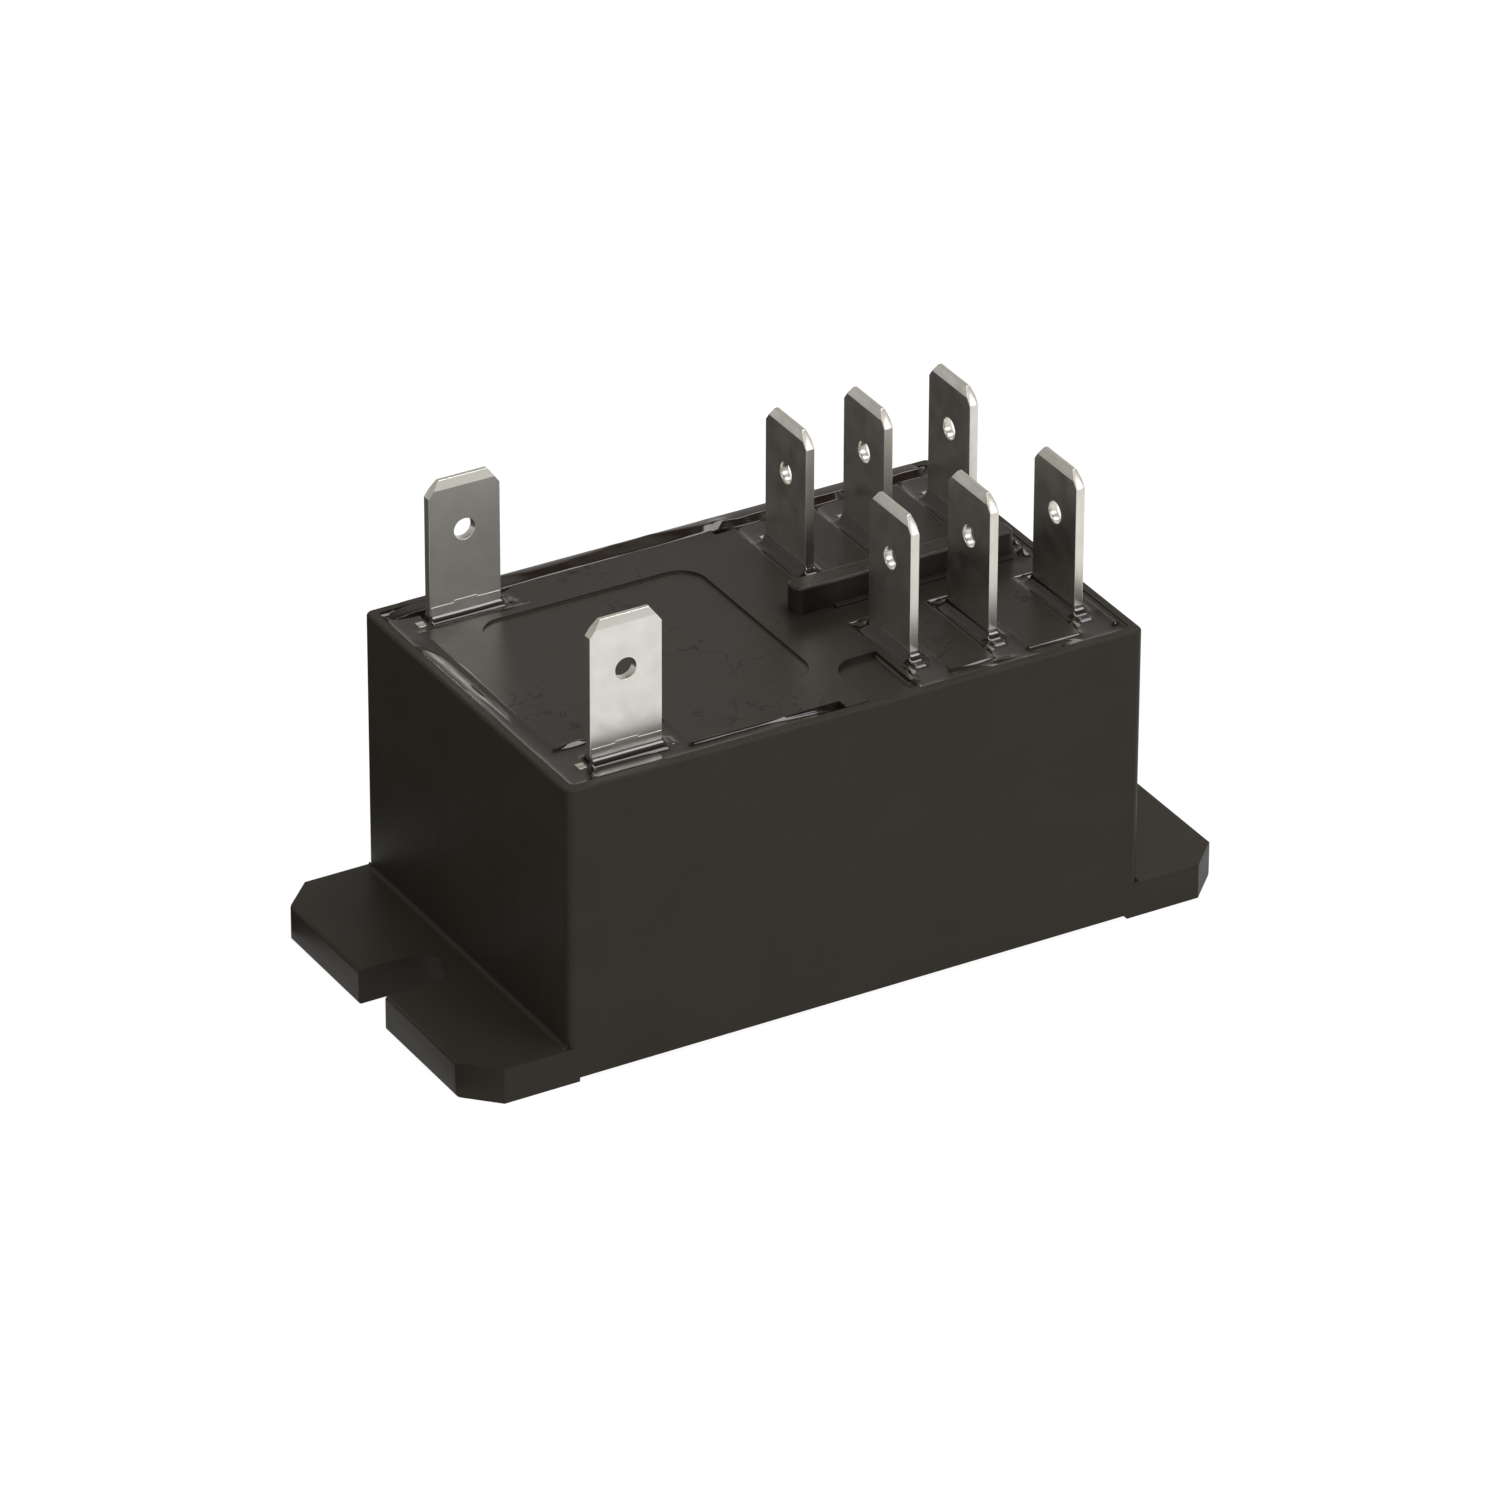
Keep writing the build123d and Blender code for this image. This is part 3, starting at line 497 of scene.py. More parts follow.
epoxyShape = {
    "inner": (25.2, 15.7),  # half size inside the case's rim
    "floor": 24.6,
    "level": 25.78,
    "deck": 26.0,
    "rimTop": 26.2,
    "step": 0.19,  # grid spacing
    "nearBlade": (0.0, 0.05, 0.10, 0.16, 0.23, 0.32, 0.44, 0.60),  # extra grid lines off a blade's sides
    "nearShoulder": (0.0, 0.2),  # and off its shoulders
    "wallLength": 0.40,  # how far the surface takes to level out from a wall
    "wallTop": (-0.04, 0.03),  # how high it climbs at a pocket's edge, against the deck
    "wallWaves": (5, 16.0),  # seed and longest of the waves between these two heights
    "rimRise": 0.24,
    "rimLength": 0.17,
    "rimWaves": (0.14, 23, 22.0),  # share by which the rise varies, seed and longest wave
    "rimGap": 0.02,  # right beside the rim it stays this far under the rim's top
    "leftBand": (2.6, 6.6, 0.36),  # middle, half length and extra width of the broad fillet at the left rim
    "leftRest": (-24.2, 0.45),  # left of this x, how much lower the fillet is along the rest of that rim
    "bladeRise": 0.84,
    "bladeLength": 0.36,
    "thinned": (0.8, 0.3),  # how much lower it is over the bare shoulder, and over what distance
    "shoulderRise": (0.17, 0.03),  # it covers one shoulder of each blade, and the other just stands out
    "shoulderLength": 0.30,
    "spill": 0.13,  # slope of the film that spills on to the deck
    "film": (0.03, 0.2),  # depths under the deck's top: where the film ends, and its lower side
    "swell": (0.014, 11, 12.0),  # height, seed and longest of the slow waves
    "recess": (5.9, -8.4, 0.5, 0.25),  # the open recess: right and rear limits, how far the pour sank, edge
    "recessRim": 0.5,  # distance from the rim over which it sinks
    "lumps": [  # x, y, half size along x and y, height: where the pour was dragged or ran over
        (24.35, -0.6, 0.45, 0.60, 0.45),
        (24.6, 1.0, 0.35, 0.50, 0.38),
        (-0.9, -14.40, 1.2, 0.80, -0.62),
        (-3.4, -14.50, 2.2, 0.30, -0.22),
        (-5.0, -14.95, 2.4, 0.13, 0.12),
        (-24.2, 10.6, 0.5, 0.9, 0.10),
        (-14.6, 12.4, 0.5, 0.45, 0.10),
        (-21.8, -9.6, 0.8, 0.22, 0.16),
        (14.2, -14.6, 1.0, 0.25, 0.14),
        (19.6, -14.9, 0.8, 0.22, 0.16),
    ],
    "pockets": [  # x from, x to, y from, y to
        (-25.2, -23.35, -15.7, 15.7),
        (-25.2, -13.7, -15.7, -9.75),
        (-25.2, -13.7, 11.55, 15.7),
        (-25.2, -0.5, -15.7, -14.15),
        (-25.2, 4.5, 14.75, 15.7),
        (6.0, 25.2, -15.7, -14.05),
        (4.5, 25.2, 14.05, 15.7),
        (1.6, 6.0, -15.7, -8.7),
        (-25.2, 25.2, -15.7, -15.25),
        (-25.2, 25.2, 15.25, 15.7),
        (-25.2, -24.75, -15.7, 15.7),
        (24.75, 25.2, -15.7, 15.7),
    ],
    "bladePocket": (1.6, 3.655),  # half width, and where it starts from the middle line
    "roundedCorner": (4.0, -11.1, 2.4),  # centre and radius of the recess's round corner
    "contactBlades": ((7.98, 15.18, 23.08), 8.1),
    "coilBlades": (-19.0, 12.9),
    "blade": (0.4, 3.175),  # half thickness and half width
    "shoulder": 4.145,  # half width over the shoulders
}


def gridLines(edges, step):
    # Lines through every edge, with evenly spaced ones between that are at most one step apart.
    edges = sorted(set(round(edge, 4) for edge in edges))
    runs = [np.linspace(low, high, max(1, math.ceil((high - low) / step)), endpoint=False)
            for low, high in zip(edges[:-1], edges[1:])]
    return np.concatenate(runs + [np.array(edges[-1:])])


def farFrom(marked, x, y):
    # Distance from every grid corner to the nearest marked one: first along each row, then across the rows.
    far = 1e3
    alongX = np.abs(x[:, None] - x[None, :])
    nearest = np.array([np.where(row[None, :], alongX, far).min(axis=1) for row in marked])
    alongY = (y[:, None] - y[None, :]) ** 2
    square = nearest ** 2
    return np.sqrt(np.array([(alongY[i][:, None] + square).min(axis=0) for i in range(len(y))]))


def slowWaves(x, y, seed, longest):
    # A sum of eight sine waves in fixed directions, each shorter and lower than the one before. The gain
    # brings it to about -1 to 1.
    shorter, lower, gain = 0.78, 0.85, 1.6
    chance = np.random.default_rng(seed)
    total = np.zeros_like(x)
    weight = 0.0
    for k in range(8):
        length = longest * shorter ** k
        turn = chance.uniform(0, 2 * math.pi)
        start = chance.uniform(0, 2 * math.pi)
        strength = lower ** k
        total += strength * np.sin(2 * math.pi * (x * math.cos(turn) + y * math.sin(turn)) / length + start)
        weight += strength
    return total / weight * gain


def makeEpoxy(shape):
    # A closed shell over a grid. The top stands at the pour's level plus a rise that falls off with the
    # distance from walls and blades as exp(-distance / length). The bottom is the flat floor of the pockets.
    pockets = list(shape["pockets"])
    bladeXs, rowY = shape["contactBlades"]
    halfPocket, pocketStart = shape["bladePocket"]
    endX, endY = shape["inner"]
    thin, wide = shape["blade"]
    blades = []
    for bladeX in bladeXs:
        for side in (-1, 1):
            low, high = sorted((side * pocketStart, side * endY))
            pockets.append((bladeX - halfPocket, bladeX + halfPocket, low, high))
            blades.append((bladeX, side * rowY, thin, wide))
    for side in (-1, 1):
        blades.append((shape["coilBlades"][0], side * shape["coilBlades"][1], wide, thin))
    offsets = shape["nearBlade"]
    edgesX = [edge for box in pockets for edge in box[:2]]
    edgesX += [b[0] + s * (b[2] + off) for b in blades for s in (-1, 1) for off in offsets]
    edgesX += [blades[-1][0] + s * shape["shoulder"] for s in (-1, 1)]
    edgesY = [edge for box in pockets for edge in box[2:]]
    edgesY += [b[1] + s * (b[3] + off) for b in blades for s in (-1, 1) for off in offsets]
    edgesY += [b[1] + s * (shape["shoulder"] + off) for b in blades[:2] for s in (-1, 1)
               for off in shape["nearShoulder"]]
    x = gridLines(edgesX, shape["step"])
    y = gridLines(edgesY, shape["step"])
    gridX, gridY = np.meshgrid(x, y)
    middleX, middleY = np.meshgrid((x[1:] + x[:-1]) / 2, (y[1:] + y[:-1]) / 2)
    inPocket = np.zeros(middleX.shape, bool)
    for low, high, front, rear in pockets:
        inPocket |= (middleX > low) & (middleX < high) & (middleY > front) & (middleY < rear)
    centreX, centreY, radius = shape["roundedCorner"]
    offX, offY = centreX - middleX, middleY - centreY
    corner = (offX > 0) & (offY > 0) & (offX < radius) & (offY < radius)
    inPocket &= ~(corner & (np.hypot(offX, offY) > radius))

    around = np.pad(inPocket, 1, constant_values=False)
    beside = [around[1:, 1:], around[:-1, 1:], around[1:, :-1], around[:-1, :-1]]
    anyPocket = np.logical_or.reduce(beside)
    allPocket = np.logical_and.reduce(beside)
    fromWall = farFrom(~allPocket, x, y)
    fromPocket = farFrom(anyPocket, x, y)
    fromRim = np.minimum(endX - np.abs(gridX), endY - np.abs(gridY))
    bladeTop = np.zeros(gridX.shape)
    shoulderTop = np.zeros(gridX.shape)
    reach = shape["shoulder"] - wide
    thinner, over = shape["thinned"]
    for bladeX, bladeY, halfX, halfY in blades:
        awayX, awayY = np.abs(gridX - bladeX) - halfX, np.abs(gridY - bladeY) - halfY
        overX, overY = (reach, 0) if halfX > halfY else (0, reach)
        fromShoulder = np.hypot(np.maximum(awayX - overX, 0), np.maximum(awayY - overY, 0))
        bare, past = (gridX < bladeX, awayX) if halfX > halfY else (gridY > bladeY, awayY)
        thinned = 1 - thinner * bare * np.clip(past / over, 0, 1)
        away = np.hypot(np.maximum(awayX, 0), np.maximum(awayY, 0))
        collar = shape["bladeRise"] * thinned * np.exp(-away / shape["bladeLength"])
        bladeTop = np.maximum(bladeTop, collar)
        covered, bared = shape["shoulderRise"]
        rise = np.where(bare, bared, covered) * np.exp(-(fromShoulder / shape["shoulderLength"]) ** 2)
        shoulderTop = np.maximum(shoulderTop, rise)

    level, deck = shape["level"], shape["deck"]
    low, high = shape["wallTop"]
    wallTop = deck + low + (high - low) * (0.5 + 0.5 * slowWaves(gridX, gridY, *shape["wallWaves"]))
    inside = level + (wallTop - level) * np.exp(-fromWall / shape["wallLength"])
    swell, *waves = shape["swell"]
    inside += swell * slowWaves(gridX, gridY, *waves)
    top = np.where(fromPocket > 0, wallTop - shape["spill"] * fromPocket, inside)
    bandMiddle, bandHalf, bandExtra = shape["leftBand"]
    band = np.exp(-((gridY - bandMiddle) / bandHalf) ** 4) * (gridX < 0)
    share, *waves = shape["rimWaves"]
    rimWaves = 1 - share + share * slowWaves(gridX, gridY, *waves)
    leftOf, lower = shape["leftRest"]
    lowered = 1 - lower * (gridX < leftOf) * (1 - band)
    top += shape["rimRise"] * lowered * rimWaves * np.exp(-fromRim / (shape["rimLength"] + bandExtra * band))
    right, rear, sunk, edge = shape["recess"]
    inRecess = (0.5 - 0.5 * np.tanh((gridX - right) / edge)) * (gridX > 0)
    inRecess *= 0.5 - 0.5 * np.tanh((gridY - rear) / edge)
    top -= sunk * inRecess * np.clip(fromRim / shape["recessRim"], 0, 1)
    for lumpX, lumpY, halfX, halfY, height in shape["lumps"]:
        top += height * np.exp(-((gridX - lumpX) / halfX) ** 2 - ((gridY - lumpY) / halfY) ** 2)
    top += (bladeTop ** 3 + shoulderTop ** 3) ** (1 / 3)
    gap = shape["rimGap"]
    top = np.where(fromRim < gap, np.minimum(top, shape["rimTop"] - gap), top)

    filmEnd, filmUnder = shape["film"]
    cornerTop = np.maximum.reduce([top[1:, 1:], top[:-1, 1:], top[1:, :-1], top[:-1, :-1]])
    kept = inPocket | (cornerTop > deck - filmEnd)
    inBlade = np.zeros(middleX.shape, bool)
    for bladeX, bladeY, halfX, halfY in blades:
        inBlade |= (np.abs(middleX - bladeX) < halfX) & (np.abs(middleY - bladeY) < halfY)
    kept &= ~inBlade

    count = gridX.size
    number = np.arange(count).reshape(gridX.shape)
    bottom = np.where(fromPocket > 0, deck - filmUnder, shape["floor"])
    points = np.concatenate([np.stack([gridX, gridY, top], -1).reshape(-1, 3),
                             np.stack([gridX, gridY, bottom], -1).reshape(-1, 3)])
    cells = np.stack([number[:-1, :-1], number[:-1, 1:], number[1:, 1:], number[1:, :-1]], -1)[kept]
    quads = [cells, cells[:, ::-1] + count]
    rim = np.pad(kept, 1, constant_values=False)
    here = rim[1:-1, 1:-1]
    walls = [
        (here & ~rim[:-2, 1:-1], number[:-1, :-1], number[:-1, 1:]),
        (here & ~rim[2:, 1:-1], number[1:, 1:], number[1:, :-1]),
        (here & ~rim[1:-1, :-2], number[1:, :-1], number[:-1, :-1]),
        (here & ~rim[1:-1, 2:], number[:-1, 1:], number[1:, 1:]),
    ]
    for chosen, start, end in walls:
        a, b = start[chosen], end[chosen]
        quads.append(np.stack([b, a, a + count, b + count], -1))
    quads = np.concatenate(quads)
    used, quads = np.unique(quads, return_inverse=True)
    quads = quads.reshape(-1, 4)
    piece = meshFrom("potting_epoxy", points[used] * mm, quads, pottingEpoxy)
    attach(piece, "housing")
    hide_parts("epoxy_seal")
    return len(quads)


print("epoxy surface made:", makeEpoxy(epoxyShape), "faces")


def closedSheet(name, shown, hidden, material):
    # A closed sheet between two grids of points, with a wall all round its edge.
    rows, columns = shown.shape[:2]
    offset = rows * columns
    number = np.arange(offset).reshape(rows, columns)
    cells = np.stack([number[:-1, :-1], number[:-1, 1:], number[1:, 1:], number[1:, :-1]], -1).reshape(-1, 4)
    rim = np.concatenate([number[0], number[1:, -1], number[-1, -2::-1], number[-2:0:-1, 0]])
    after = np.roll(rim, -1)
    walls = np.stack([after, rim, rim + offset, after + offset], -1)
    quads = np.concatenate([cells, cells[:, ::-1] + offset, walls])
    points = np.concatenate([shown.reshape(-1, 3), hidden.reshape(-1, 3)])
    return meshFrom(name, points * mm, quads, material)


def sheetPiece(name, gridX, gridY, top, bottom, material):
    # A sheet over a level grid: its upper side at the heights in top, its lower side at those in bottom.
    upper, lower = (np.stack([gridX, gridY, z], -1) for z in (top, bottom))
    piece = closedSheet(name, upper, lower, material)
    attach(piece, "housing")


rimFilm = {
    "x": (-25.1, 24.9),
    "y": (14.62, 16.38),
    "grid": (380, 30),
    "low": (25.90, 25.80),  # height at the deck's edge, and further right in the open channel
    "change": (4.4, 0.3),  # x where the one turns into the other, and over how much
    "crest": (26.30, 26.26),
    "flatEnd": (-12.5, 2.2),  # left of this x, over this length, it lies flatter
    "flat": (0.06, 0.92, 26.01),  # there its crest is this much lower; its ramp, its height at the deck's edge
    "outer": 26.19,  # height at the outside of the rim
    "ramp": (0.34, 0.86),  # share of the width over which it rises, at the left and where it is broadest
    "rampWaves": (0.07, 31, 9.0),  # how much that varies, seed and longest wave
    "toe": (0.22, 0.06),  # share of the rise that it makes at once, and how soon
    "broad": (-1.4, 4.4, 1.7),  # middle and half length of the broad part, longer by this factor to the left
    "dip": (0.02, 37, 7.0),  # height, seed and longest of the slow waves
    "lump": (5.4, 14.8, 1.0, 0.9, 0.24),  # x, y, half sizes and height of the last drop of the pour
    "ends": (3.0, 1.2, 0.5),  # the left end is longer by this factor, length of an end and its fall
    "under": (0.03, 0.1),  # how far its lower side lies in the rim and in the deck
}


def makeRimFilm(shape):
    # Along the rear the pour ran over the rim. Height against t, the place across the film from 0 to 1:
    # it rises at once by the toe, then evenly to the crest over the ramp, and falls outwards as a parabola.
    x, y = (np.linspace(*shape[axis], count) for axis, count in zip("xy", shape["grid"]))
    gridX, gridY = np.meshgrid(x, y)
    t = (gridY - y[0]) / (y[-1] - y[0])
    middle, half, longer = shape["broad"]
    narrow, wide = shape["ramp"]
    stretch = np.where(gridX < middle, longer, 1.0)
    ramp = narrow + (wide - narrow) * np.exp(-((gridX - middle) / stretch / half) ** 2)
    amount, *waves = shape["rampWaves"]
    ramp += amount * slowWaves(gridX, 0 * gridX, *waves)
    end, over = shape["flatEnd"]
    lower, flatRamp, flatLow = shape["flat"]
    flat = 0.5 - 0.5 * np.tanh((gridX - end) / over)
    ramp += (flatRamp - ramp) * flat
    s = np.clip(t / ramp, 0, 1)
    left, right = shape["low"]
    change, over = shape["change"]
    past = 0.5 + 0.5 * np.tanh((gridX - change) / over)
    low = left + (right - left) * past + (flatLow - left) * flat
    share, soon = shape["toe"]
    toe = share * (1 - past)
    rise = toe * (1 - np.exp(-s / soon)) + (1 - toe) * s
    fall = np.clip((t - ramp) / (1 - ramp), 0, 1) ** 2
    before, after = shape["crest"]
    amount, *waves = shape["dip"]
    crest = before + (after - before) * past + amount * slowWaves(gridX, gridY, *waves)
    crest -= lower * flat
    top = low + (crest - low) * rise - (crest - shape["outer"]) * fall
    lumpX, lumpY, halfX, halfY, height = shape["lump"]
    top += height * np.exp(-((gridX - lumpX) / halfX) ** 2 - ((gridY - lumpY) / halfY) ** 2)
    longer, length, drop = shape["ends"]
    ends = np.minimum((gridX - x[0]) / longer, x[-1] - gridX)
    top -= drop * np.clip(1 - ends / length, 0, 1) ** 3
    inRim, inDeck = shape["under"]
    bottom = np.where(gridY > epoxyShape["inner"][1], np.minimum(top, epoxyShape["rimTop"]) - inRim,
                      np.minimum(top, left) - inDeck)
    sheetPiece("epoxy_film", gridX, gridY, top, bottom, pottingEpoxy)


recessFloor = {
    "x": (1.3, 6.7),
    "y": (-15.45, -8.45),
    "grid": (40, 44),
    "height": 25.60,
    "sag": (0.05, 3.8, -11.4, 3.0),  # how deep, where it is deepest, and its spread
    "drop": (0.7, 0.5),  # how far it goes down at two sides, and over what distance
    "thick": 0.15,
}


def makeRecessFloor(shape):
    # The bare floor of the open recess. Height: a plane that sags slightly as a cosine both ways, and drops
    # below the pour near its right and front sides.
    x, y = (np.linspace(*shape[axis], count) for axis, count in zip("xy", shape["grid"]))
    gridX, gridY = np.meshgrid(x, y)
    drop, reach = shape["drop"]
    sag, middleX, middleY, spread = shape["sag"]
    top = shape["height"] - sag * np.cos((gridX - middleX) / spread) * np.cos((gridY - middleY) / spread)
    top -= drop * np.clip(1 - (x[-1] - gridX) / reach, 0, 1) ** 2
    top -= drop * np.clip(1 - (gridY - y[0]) / reach, 0, 1) ** 2
    sheetPiece("recess_floor", gridX, gridY, top, top - shape["thick"], headerPbt)


flangeFillet = {
    "top": 3.1,
    "wall": 26.0,
    "radius": 0.32,
    "half": 16.3,
    "into": 0.05,  # how far it reaches into the body
    "thick": 0.1,
    "grid": (9, 24),
}


def makeFlangeFillet(side, shape):
    # The small fillet between a flange and the body, which catches the light as a thin line. Height against
    # d, the distance from the body: top + r - sqrt(r * r - (r - d) ** 2), a quarter circle of radius r.
    r = shape["radius"]
    across, along = shape["grid"]
    d = r * (1 - np.cos(np.linspace(0, math.pi / 2, across)))
    d = np.concatenate([[-shape["into"]], d])[::side]
    y = np.linspace(-shape["half"], shape["half"], along)
    gridX, gridY = np.meshgrid(side * (shape["wall"] + d), y)
    inside = np.clip(r - np.maximum(np.broadcast_to(d, gridX.shape), 0), 0, r)
    top = shape["top"] + r - np.sqrt(r * r - inside ** 2)
    bottom = np.full(gridX.shape, shape["top"] - shape["thick"])
    name = "flange_fillet_" + ("left" if side < 0 else "right")
    sheetPiece(name, gridX, gridY, top, bottom, casePbt)


makeRimFilm(rimFilm)
for side in (-1, 1):
    makeFlangeFillet(side, flangeFillet)
makeRecessFloor(recessFloor)
print("film and recess floor made")


ledgeShape = {
    "heights": (27.32, 27.50),  # top of the outer thirds and of the middle third
    "half": 3.10,
    "middle": 1.02,  # half width of the middle third
    "corner": 0.04,  # width over which its sides come back to the blade
    "step": 0.02,  # half width over which the top changes height
    "foot": (25.90, 25.95),  # heights between which it comes out of the blade, under the epoxy
    "proud": 0.05,
    "sunk": (0.02, 0.15),  # how deep its edge and its back lie in the blade
    "slope": 0.03,  # height over which its top edge comes back to the blade
}


def makeLedge(side, shape):
    # The stamped step low on the front of a coil blade: a thin pad whose top edge is higher in its middle
    # third. Rows run from below the epoxy up the face and back over the edge, columns across the blade.
    outer, middle = shape["heights"]
    half, inner = shape["half"], shape["middle"]
    corner, step = shape["corner"], shape["step"]
    right = [inner - step, inner + step, half - corner, half]
    columns = np.array([-place for place in right[::-1]] + right)
    tops = np.where(np.abs(columns) < inner, middle, outer)
    low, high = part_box("coil_terminal_" + side)
    centre = (low.x + high.x) / 2 / mm
    face = (low.y + high.y) / 2 / mm - epoxyShape["blade"][0]
    lowest, foot = (np.full(columns.shape, height) for height in shape["foot"])
    levels = np.array([lowest, foot, tops - shape["slope"], tops])
    depth = np.array([0.0, 1.0, 1.0, 0.0])[:, None] * (np.abs(columns) < half)
    edge, behind = shape["sunk"]
    front = np.stack([np.broadcast_to(centre + columns, levels.shape),
                      face + edge - depth * (shape["proud"] + edge), levels], -1)
    back = front.copy()
    back[..., 1] = face + behind
    piece = closedSheet("coil_ledge_" + side, front, back, coilBladeTin)
    piece.data.shade_flat()
    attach(piece, "housing")


for side in ("front", "rear"):
    makeLedge(side, ledgeShape)
print("ledges made")


windingShape = {
    "pitch": 0.42,  # the wire is about 0.2 thick, drawn coarser so that the turns show
    "perTurn": 6,
    "around": 84,
    "innerRadius": 4.2,
    "end": 0.02,  # gap to each bobbin flange
    "groove": 0.92,  # 1 would cut the grooves down to half circles
}


def makeWinding(shape):
    # A closed ring: radius against (place along the coil, angle). The outside is a helix of round ridges: the
    # radius less half the pitch times 1 - sqrt(1 - groove * s * s), where s runs from -1 to 1 over a turn.
    low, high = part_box("winding")
    centreZ = (low.z + high.z) / 2 / mm
    radius = (high.z - low.z) / 2 / mm
    x0, x1 = low.x / mm + shape["end"], high.x / mm - shape["end"]
    steps = int((x1 - x0) / shape["pitch"] * shape["perTurn"])
    along = np.linspace(x0, x1, steps)
    angle = np.linspace(0, 2 * math.pi, shape["around"], endpoint=False)
    gridX, gridA = np.meshgrid(along, angle, indexing="ij")
    phase = ((gridX - x0) / shape["pitch"] - gridA / (2 * math.pi)) % 1.0
    depth = 1 - np.sqrt(1 - shape["groove"] * (2 * phase - 1) ** 2)
    outer = radius - shape["pitch"] / 2 * depth
    inner = np.full((2, shape["around"]), shape["innerRadius"])
    ringX = np.concatenate([gridX, np.full((1, shape["around"]), x1), np.full((1, shape["around"]), x0)])
    ringR = np.concatenate([outer, inner])
    ringA = np.concatenate([gridA, gridA[:2]])
    points = np.stack([ringX, ringR * np.cos(ringA), centreZ + ringR * np.sin(ringA)], -1).reshape(-1, 3)
    rows, columns = ringX.shape
    number = np.arange(rows * columns).reshape(rows, columns)
    nextRow, nextColumn = np.roll(number, -1, 0), np.roll(number, -1, 1)
    both = np.roll(nextRow, -1, 1)
    quads = np.stack([number, nextRow, both, nextColumn], -1).reshape(-1, 4)
    piece = meshFrom("winding_turns", points * mm, quads, coilWire)
    form = bmesh.new()
    form.from_mesh(piece.data)
    bmesh.ops.recalc_face_normals(form, faces=form.faces)
    form.to_mesh(piece.data)
    form.free()
    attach(piece, "housing")
    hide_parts("winding")
    return len(quads)


print("winding made:", makeWinding(windingShape), "faces")


stageSettings = {
    "floorSize": 6.0,  # metres
    "floorWhite": 0.93,  # the floor's own white, to which its shaded part adds
    "shaded": 0.12,
    "floorBounce": "#c8c6c1",  # how much light it throws back on the relay
    "worldLight": 0.48,
}


def directRays(tree):
    # 1 for the rays that show the background: what the camera, metal and anything clear see
    rays = addNode(tree, "ShaderNodeLightPath").outputs
    mirrored = addNode(tree, "ShaderNodeMath", {
        0: rays["Is Glossy Ray"], 1: rays["Is Transmission Ray"]}, operation="MAXIMUM")
    return addNode(tree, "ShaderNodeMath", {
        0: rays["Is Camera Ray"], 1: mirrored.outputs[0]}, operation="MAXIMUM").outputs[0]


def makeFloor(settings):
    # A plain white sweep that keeps the relay's soft shadow.
    half = settings["floorSize"] / 2
    points = np.array([(-half, -half, 0), (half, -half, 0), (half, half, 0), (-half, half, 0)])
    material, tree = emptyMaterial("whiteSweep")
    plain = addNode(tree, "ShaderNodeBsdfDiffuse", {"Color": linear(settings["floorBounce"])})
    shade = addNode(tree, "ShaderNodeBsdfDiffuse", {"Color": [settings["shaded"]] * 3 + [1.0]})
    glow = addNode(tree, "ShaderNodeEmission", {"Color": [1.0] * 4, "Strength": settings["floorWhite"]})
    both = addNode(tree, "ShaderNodeAddShader", {0: shade.outputs[0], 1: glow.outputs[0]})
    chosen = addNode(tree, "ShaderNodeMixShader", {
        0: directRays(tree), 1: plain.outputs[0], 2: both.outputs[0]})
    closeMaterial(material, tree, chosen)
    floor = meshFrom("floor", points, np.array([[0, 1, 2, 3]]), material)


def makeWorld(settings):
    # White all round where it is seen, and a plain soft light.
    world = bpy.data.worlds.new("studio")
    world.use_nodes = True
    bpy.context.scene.world = world
    tree = world.node_tree
    tree.nodes.clear()
    soft = addNode(tree, "ShaderNodeBackground", {"Color": [1.0] * 4, "Strength": settings["worldLight"]})
    white = addNode(tree, "ShaderNodeBackground", {"Color": [1.0] * 4, "Strength": 1.0})
    chosen = addNode(tree, "ShaderNodeMixShader", {
        0: directRays(tree), 1: soft.outputs[0], 2: white.outputs[0]})
    addNode(tree, "ShaderNodeOutputWorld", {"Surface": chosen.outputs[0]})


# Sheets that only gloss shows, each glowing in its own tone: painted reflections. The dark card lies on the
# floor behind and to the left as a painted shadow of the relay, which the blades and the case's left side
# reflect. The high card darkens what the menisci reflect from above.
paintedReflectionCards = {  # tone, middle and half width in degrees from +X, heights in degrees, metres away
    "greyCard": ("#bebcb8", 60.0, 180.0, (0.0, 89.0), 1.3),
    "paintedFloorShadowCard": ("#3c3936", 138.0, 78.0, (-38.2, -1.0), 0.60),
    "whiteCard": ("#e8e6e2", 60.0, 40.0, (-4.0, 22.0), 1.2),
    "highCard": ("#4a4744", 60.0, 180.0, (42.0, 89.0), 1.1),
}
cardRules = {
    "fade": 14.0,  # degrees over which a card fades out at its edges
    "eye": 0.03,  # metres: height of the blades, from which the directions are taken
    "overFloor": 0.0004,  # metres
    "grid": (61, 41),
}


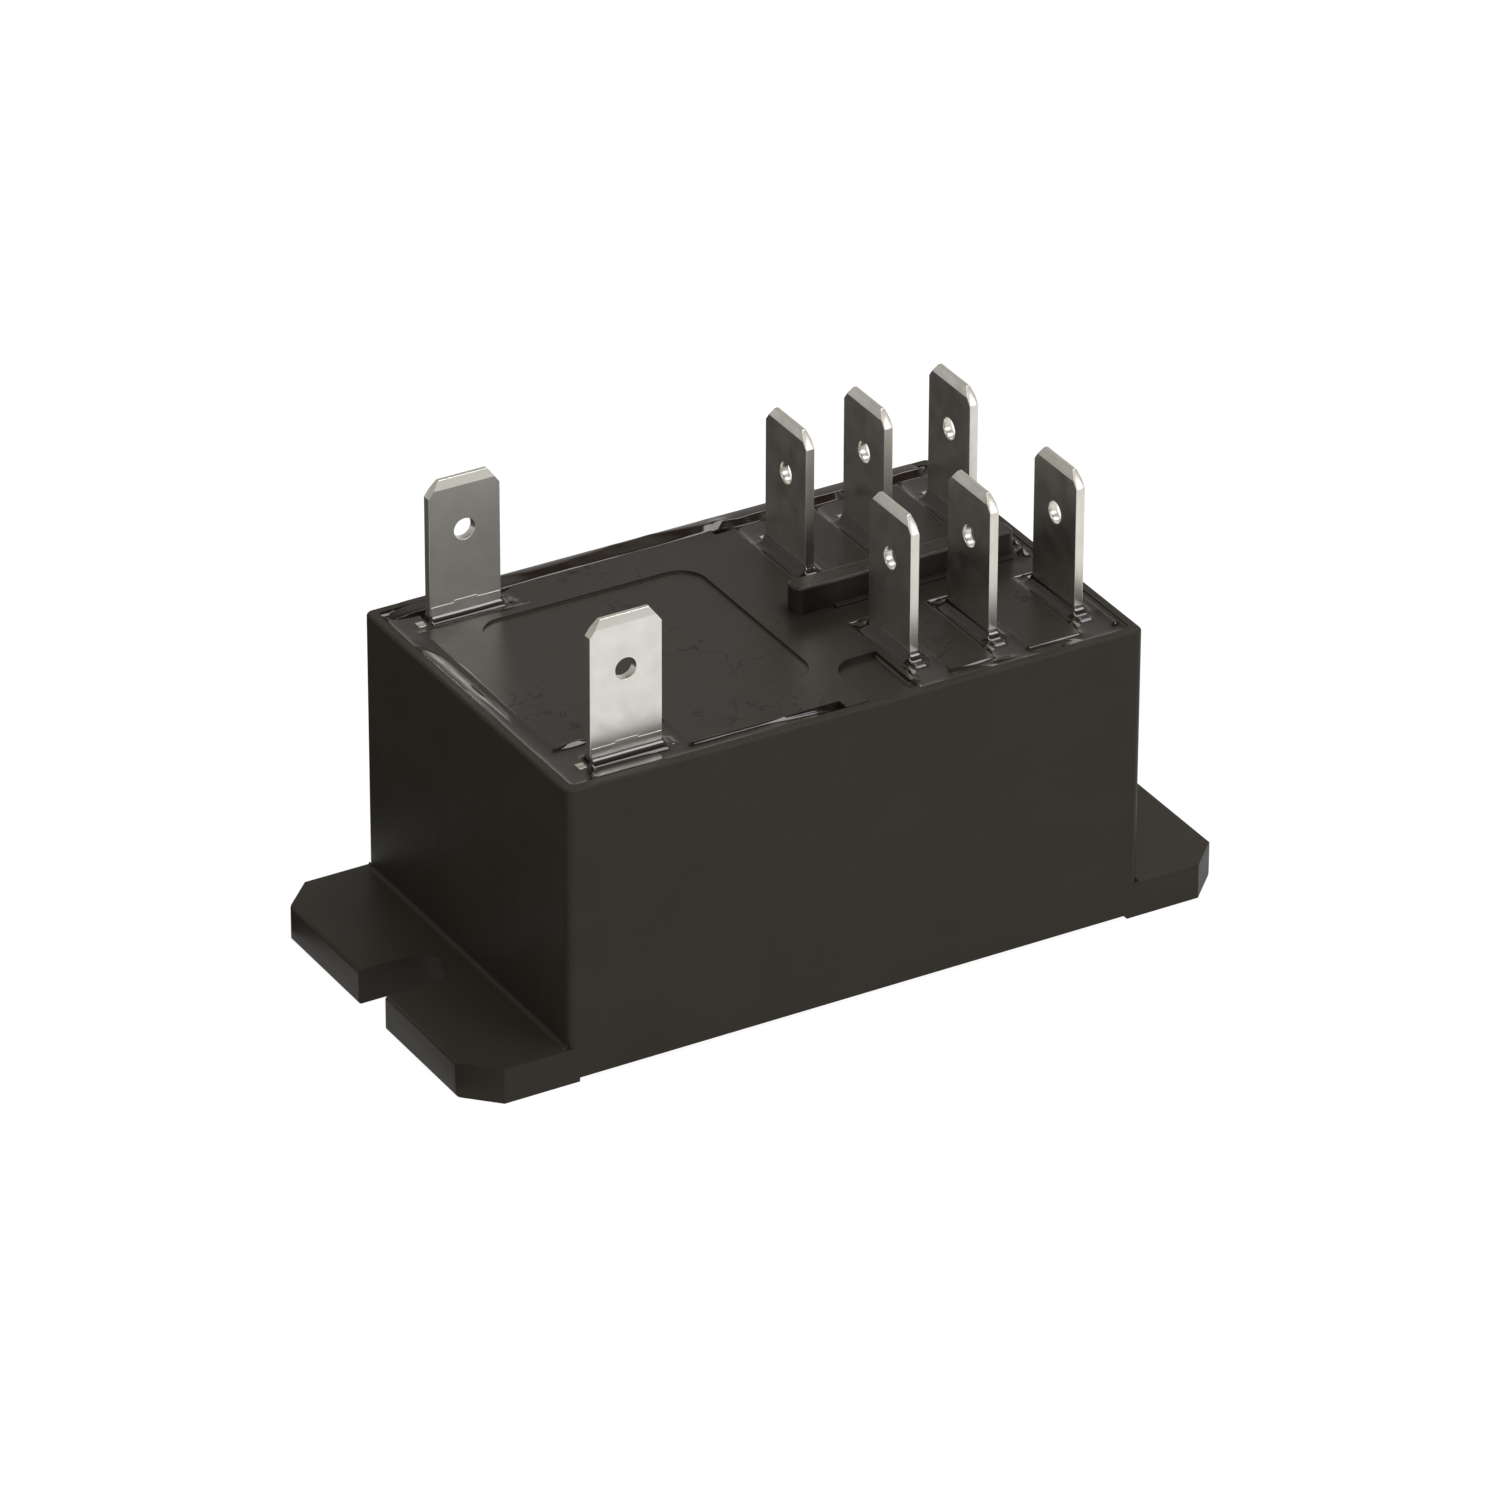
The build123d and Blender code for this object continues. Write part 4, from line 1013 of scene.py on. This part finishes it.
def makeCard(name, settings):
    # A curved sheet round the relay that only gloss shows, glowing in its own tone: a painted reflection.
    #  Its points are direction (turn, height) times a distance, and below the floor they slide up on to it.
    tone, middle, half, (lowest, highest), distance = settings
    fade, eye = cardRules["fade"], cardRules["eye"]
    across, upward = cardRules["grid"]
    turns = np.radians(np.linspace(middle - half, middle + half, across))
    heights = np.radians(np.linspace(lowest, highest, upward))
    turn, height = np.meshgrid(turns, heights)
    ray = np.stack([np.cos(turn) * np.cos(height), np.sin(turn) * np.cos(height), np.sin(height)], -1)
    toFloor = (eye - cardRules["overFloor"]) / np.maximum(-ray[..., 2], 1e-6)
    points = ray * np.minimum(distance, toFloor)[..., None] + np.array([0.0, 0.0, eye])
    cover = np.ones_like(turn)  # a card that goes all round, to the zenith or to the floor has no edge there
    if half < 180:
        cover *= np.minimum(np.degrees(np.minimum(turn - turns[0], turns[-1] - turn)) / fade, 1)
    if highest < 80:
        cover *= np.minimum(np.degrees(heights[-1] - height) / fade, 1)
    if lowest > 0:
        cover *= np.minimum(np.degrees(height - heights[0]) / fade, 1)
    number = np.arange(turn.size).reshape(turn.shape)
    quads = np.stack([number[:-1, :-1], number[1:, :-1], number[1:, 1:], number[:-1, 1:]], -1).reshape(-1, 4)
    material, tree = emptyMaterial(name)
    share = addNode(tree, "ShaderNodeAttribute", attribute_name="cover")
    clear = addNode(tree, "ShaderNodeBsdfTransparent")
    # the glowing tone of the painted reflection
    glowingTone = addNode(tree, "ShaderNodeEmission", {"Color": linear(tone)})
    chosen = addNode(tree, "ShaderNodeMixShader", {
        0: share.outputs["Fac"], 1: clear.outputs[0], 2: glowingTone.outputs[0]})
    closeMaterial(material, tree, chosen)
    card = meshFrom(name, points.reshape(-1, 3), quads, material)
    values = card.data.attributes.new("cover", "FLOAT", "POINT").data
    values.foreach_set("value", cover.ravel().astype(np.float32))
    card.visible_camera = False
    card.visible_diffuse = False
    card.visible_transmission = False
    card.visible_shadow = False


lamps = {  # name: place in metres, length and width in metres, watts
    "overhead": ((0.10, -0.12, 0.70), (1.10, 0.22), 3.8),
    "frontRight": ((0.35, -0.60, 0.40), (0.30, 0.15), 1.36),
}
lampAim = Vector((0, 0, 0.015))  # metres


def makeLamps(settings):
    # Soft boxes, each turned to the middle of the relay.
    for name, (place, (length, width), watts) in settings.items():
        data = bpy.data.lights.new(name, "AREA")
        data.shape = "RECTANGLE"
        data.size, data.size_y = length, width
        data.energy = watts
        lamp = bpy.data.objects.new(name, data)
        bpy.context.scene.collection.objects.link(lamp)
        lamp.location = place
        lamp.rotation_euler = (lampAim - lamp.location).to_track_quat("-Z", "Y").to_euler()


makeFloor(stageSettings)
makeWorld(stageSettings)
for name, settings in paintedReflectionCards.items():
    makeCard(name, settings)
makeLamps(lamps)
bpy.context.scene.view_settings.view_transform = "Standard"
print("stage and lamps made")
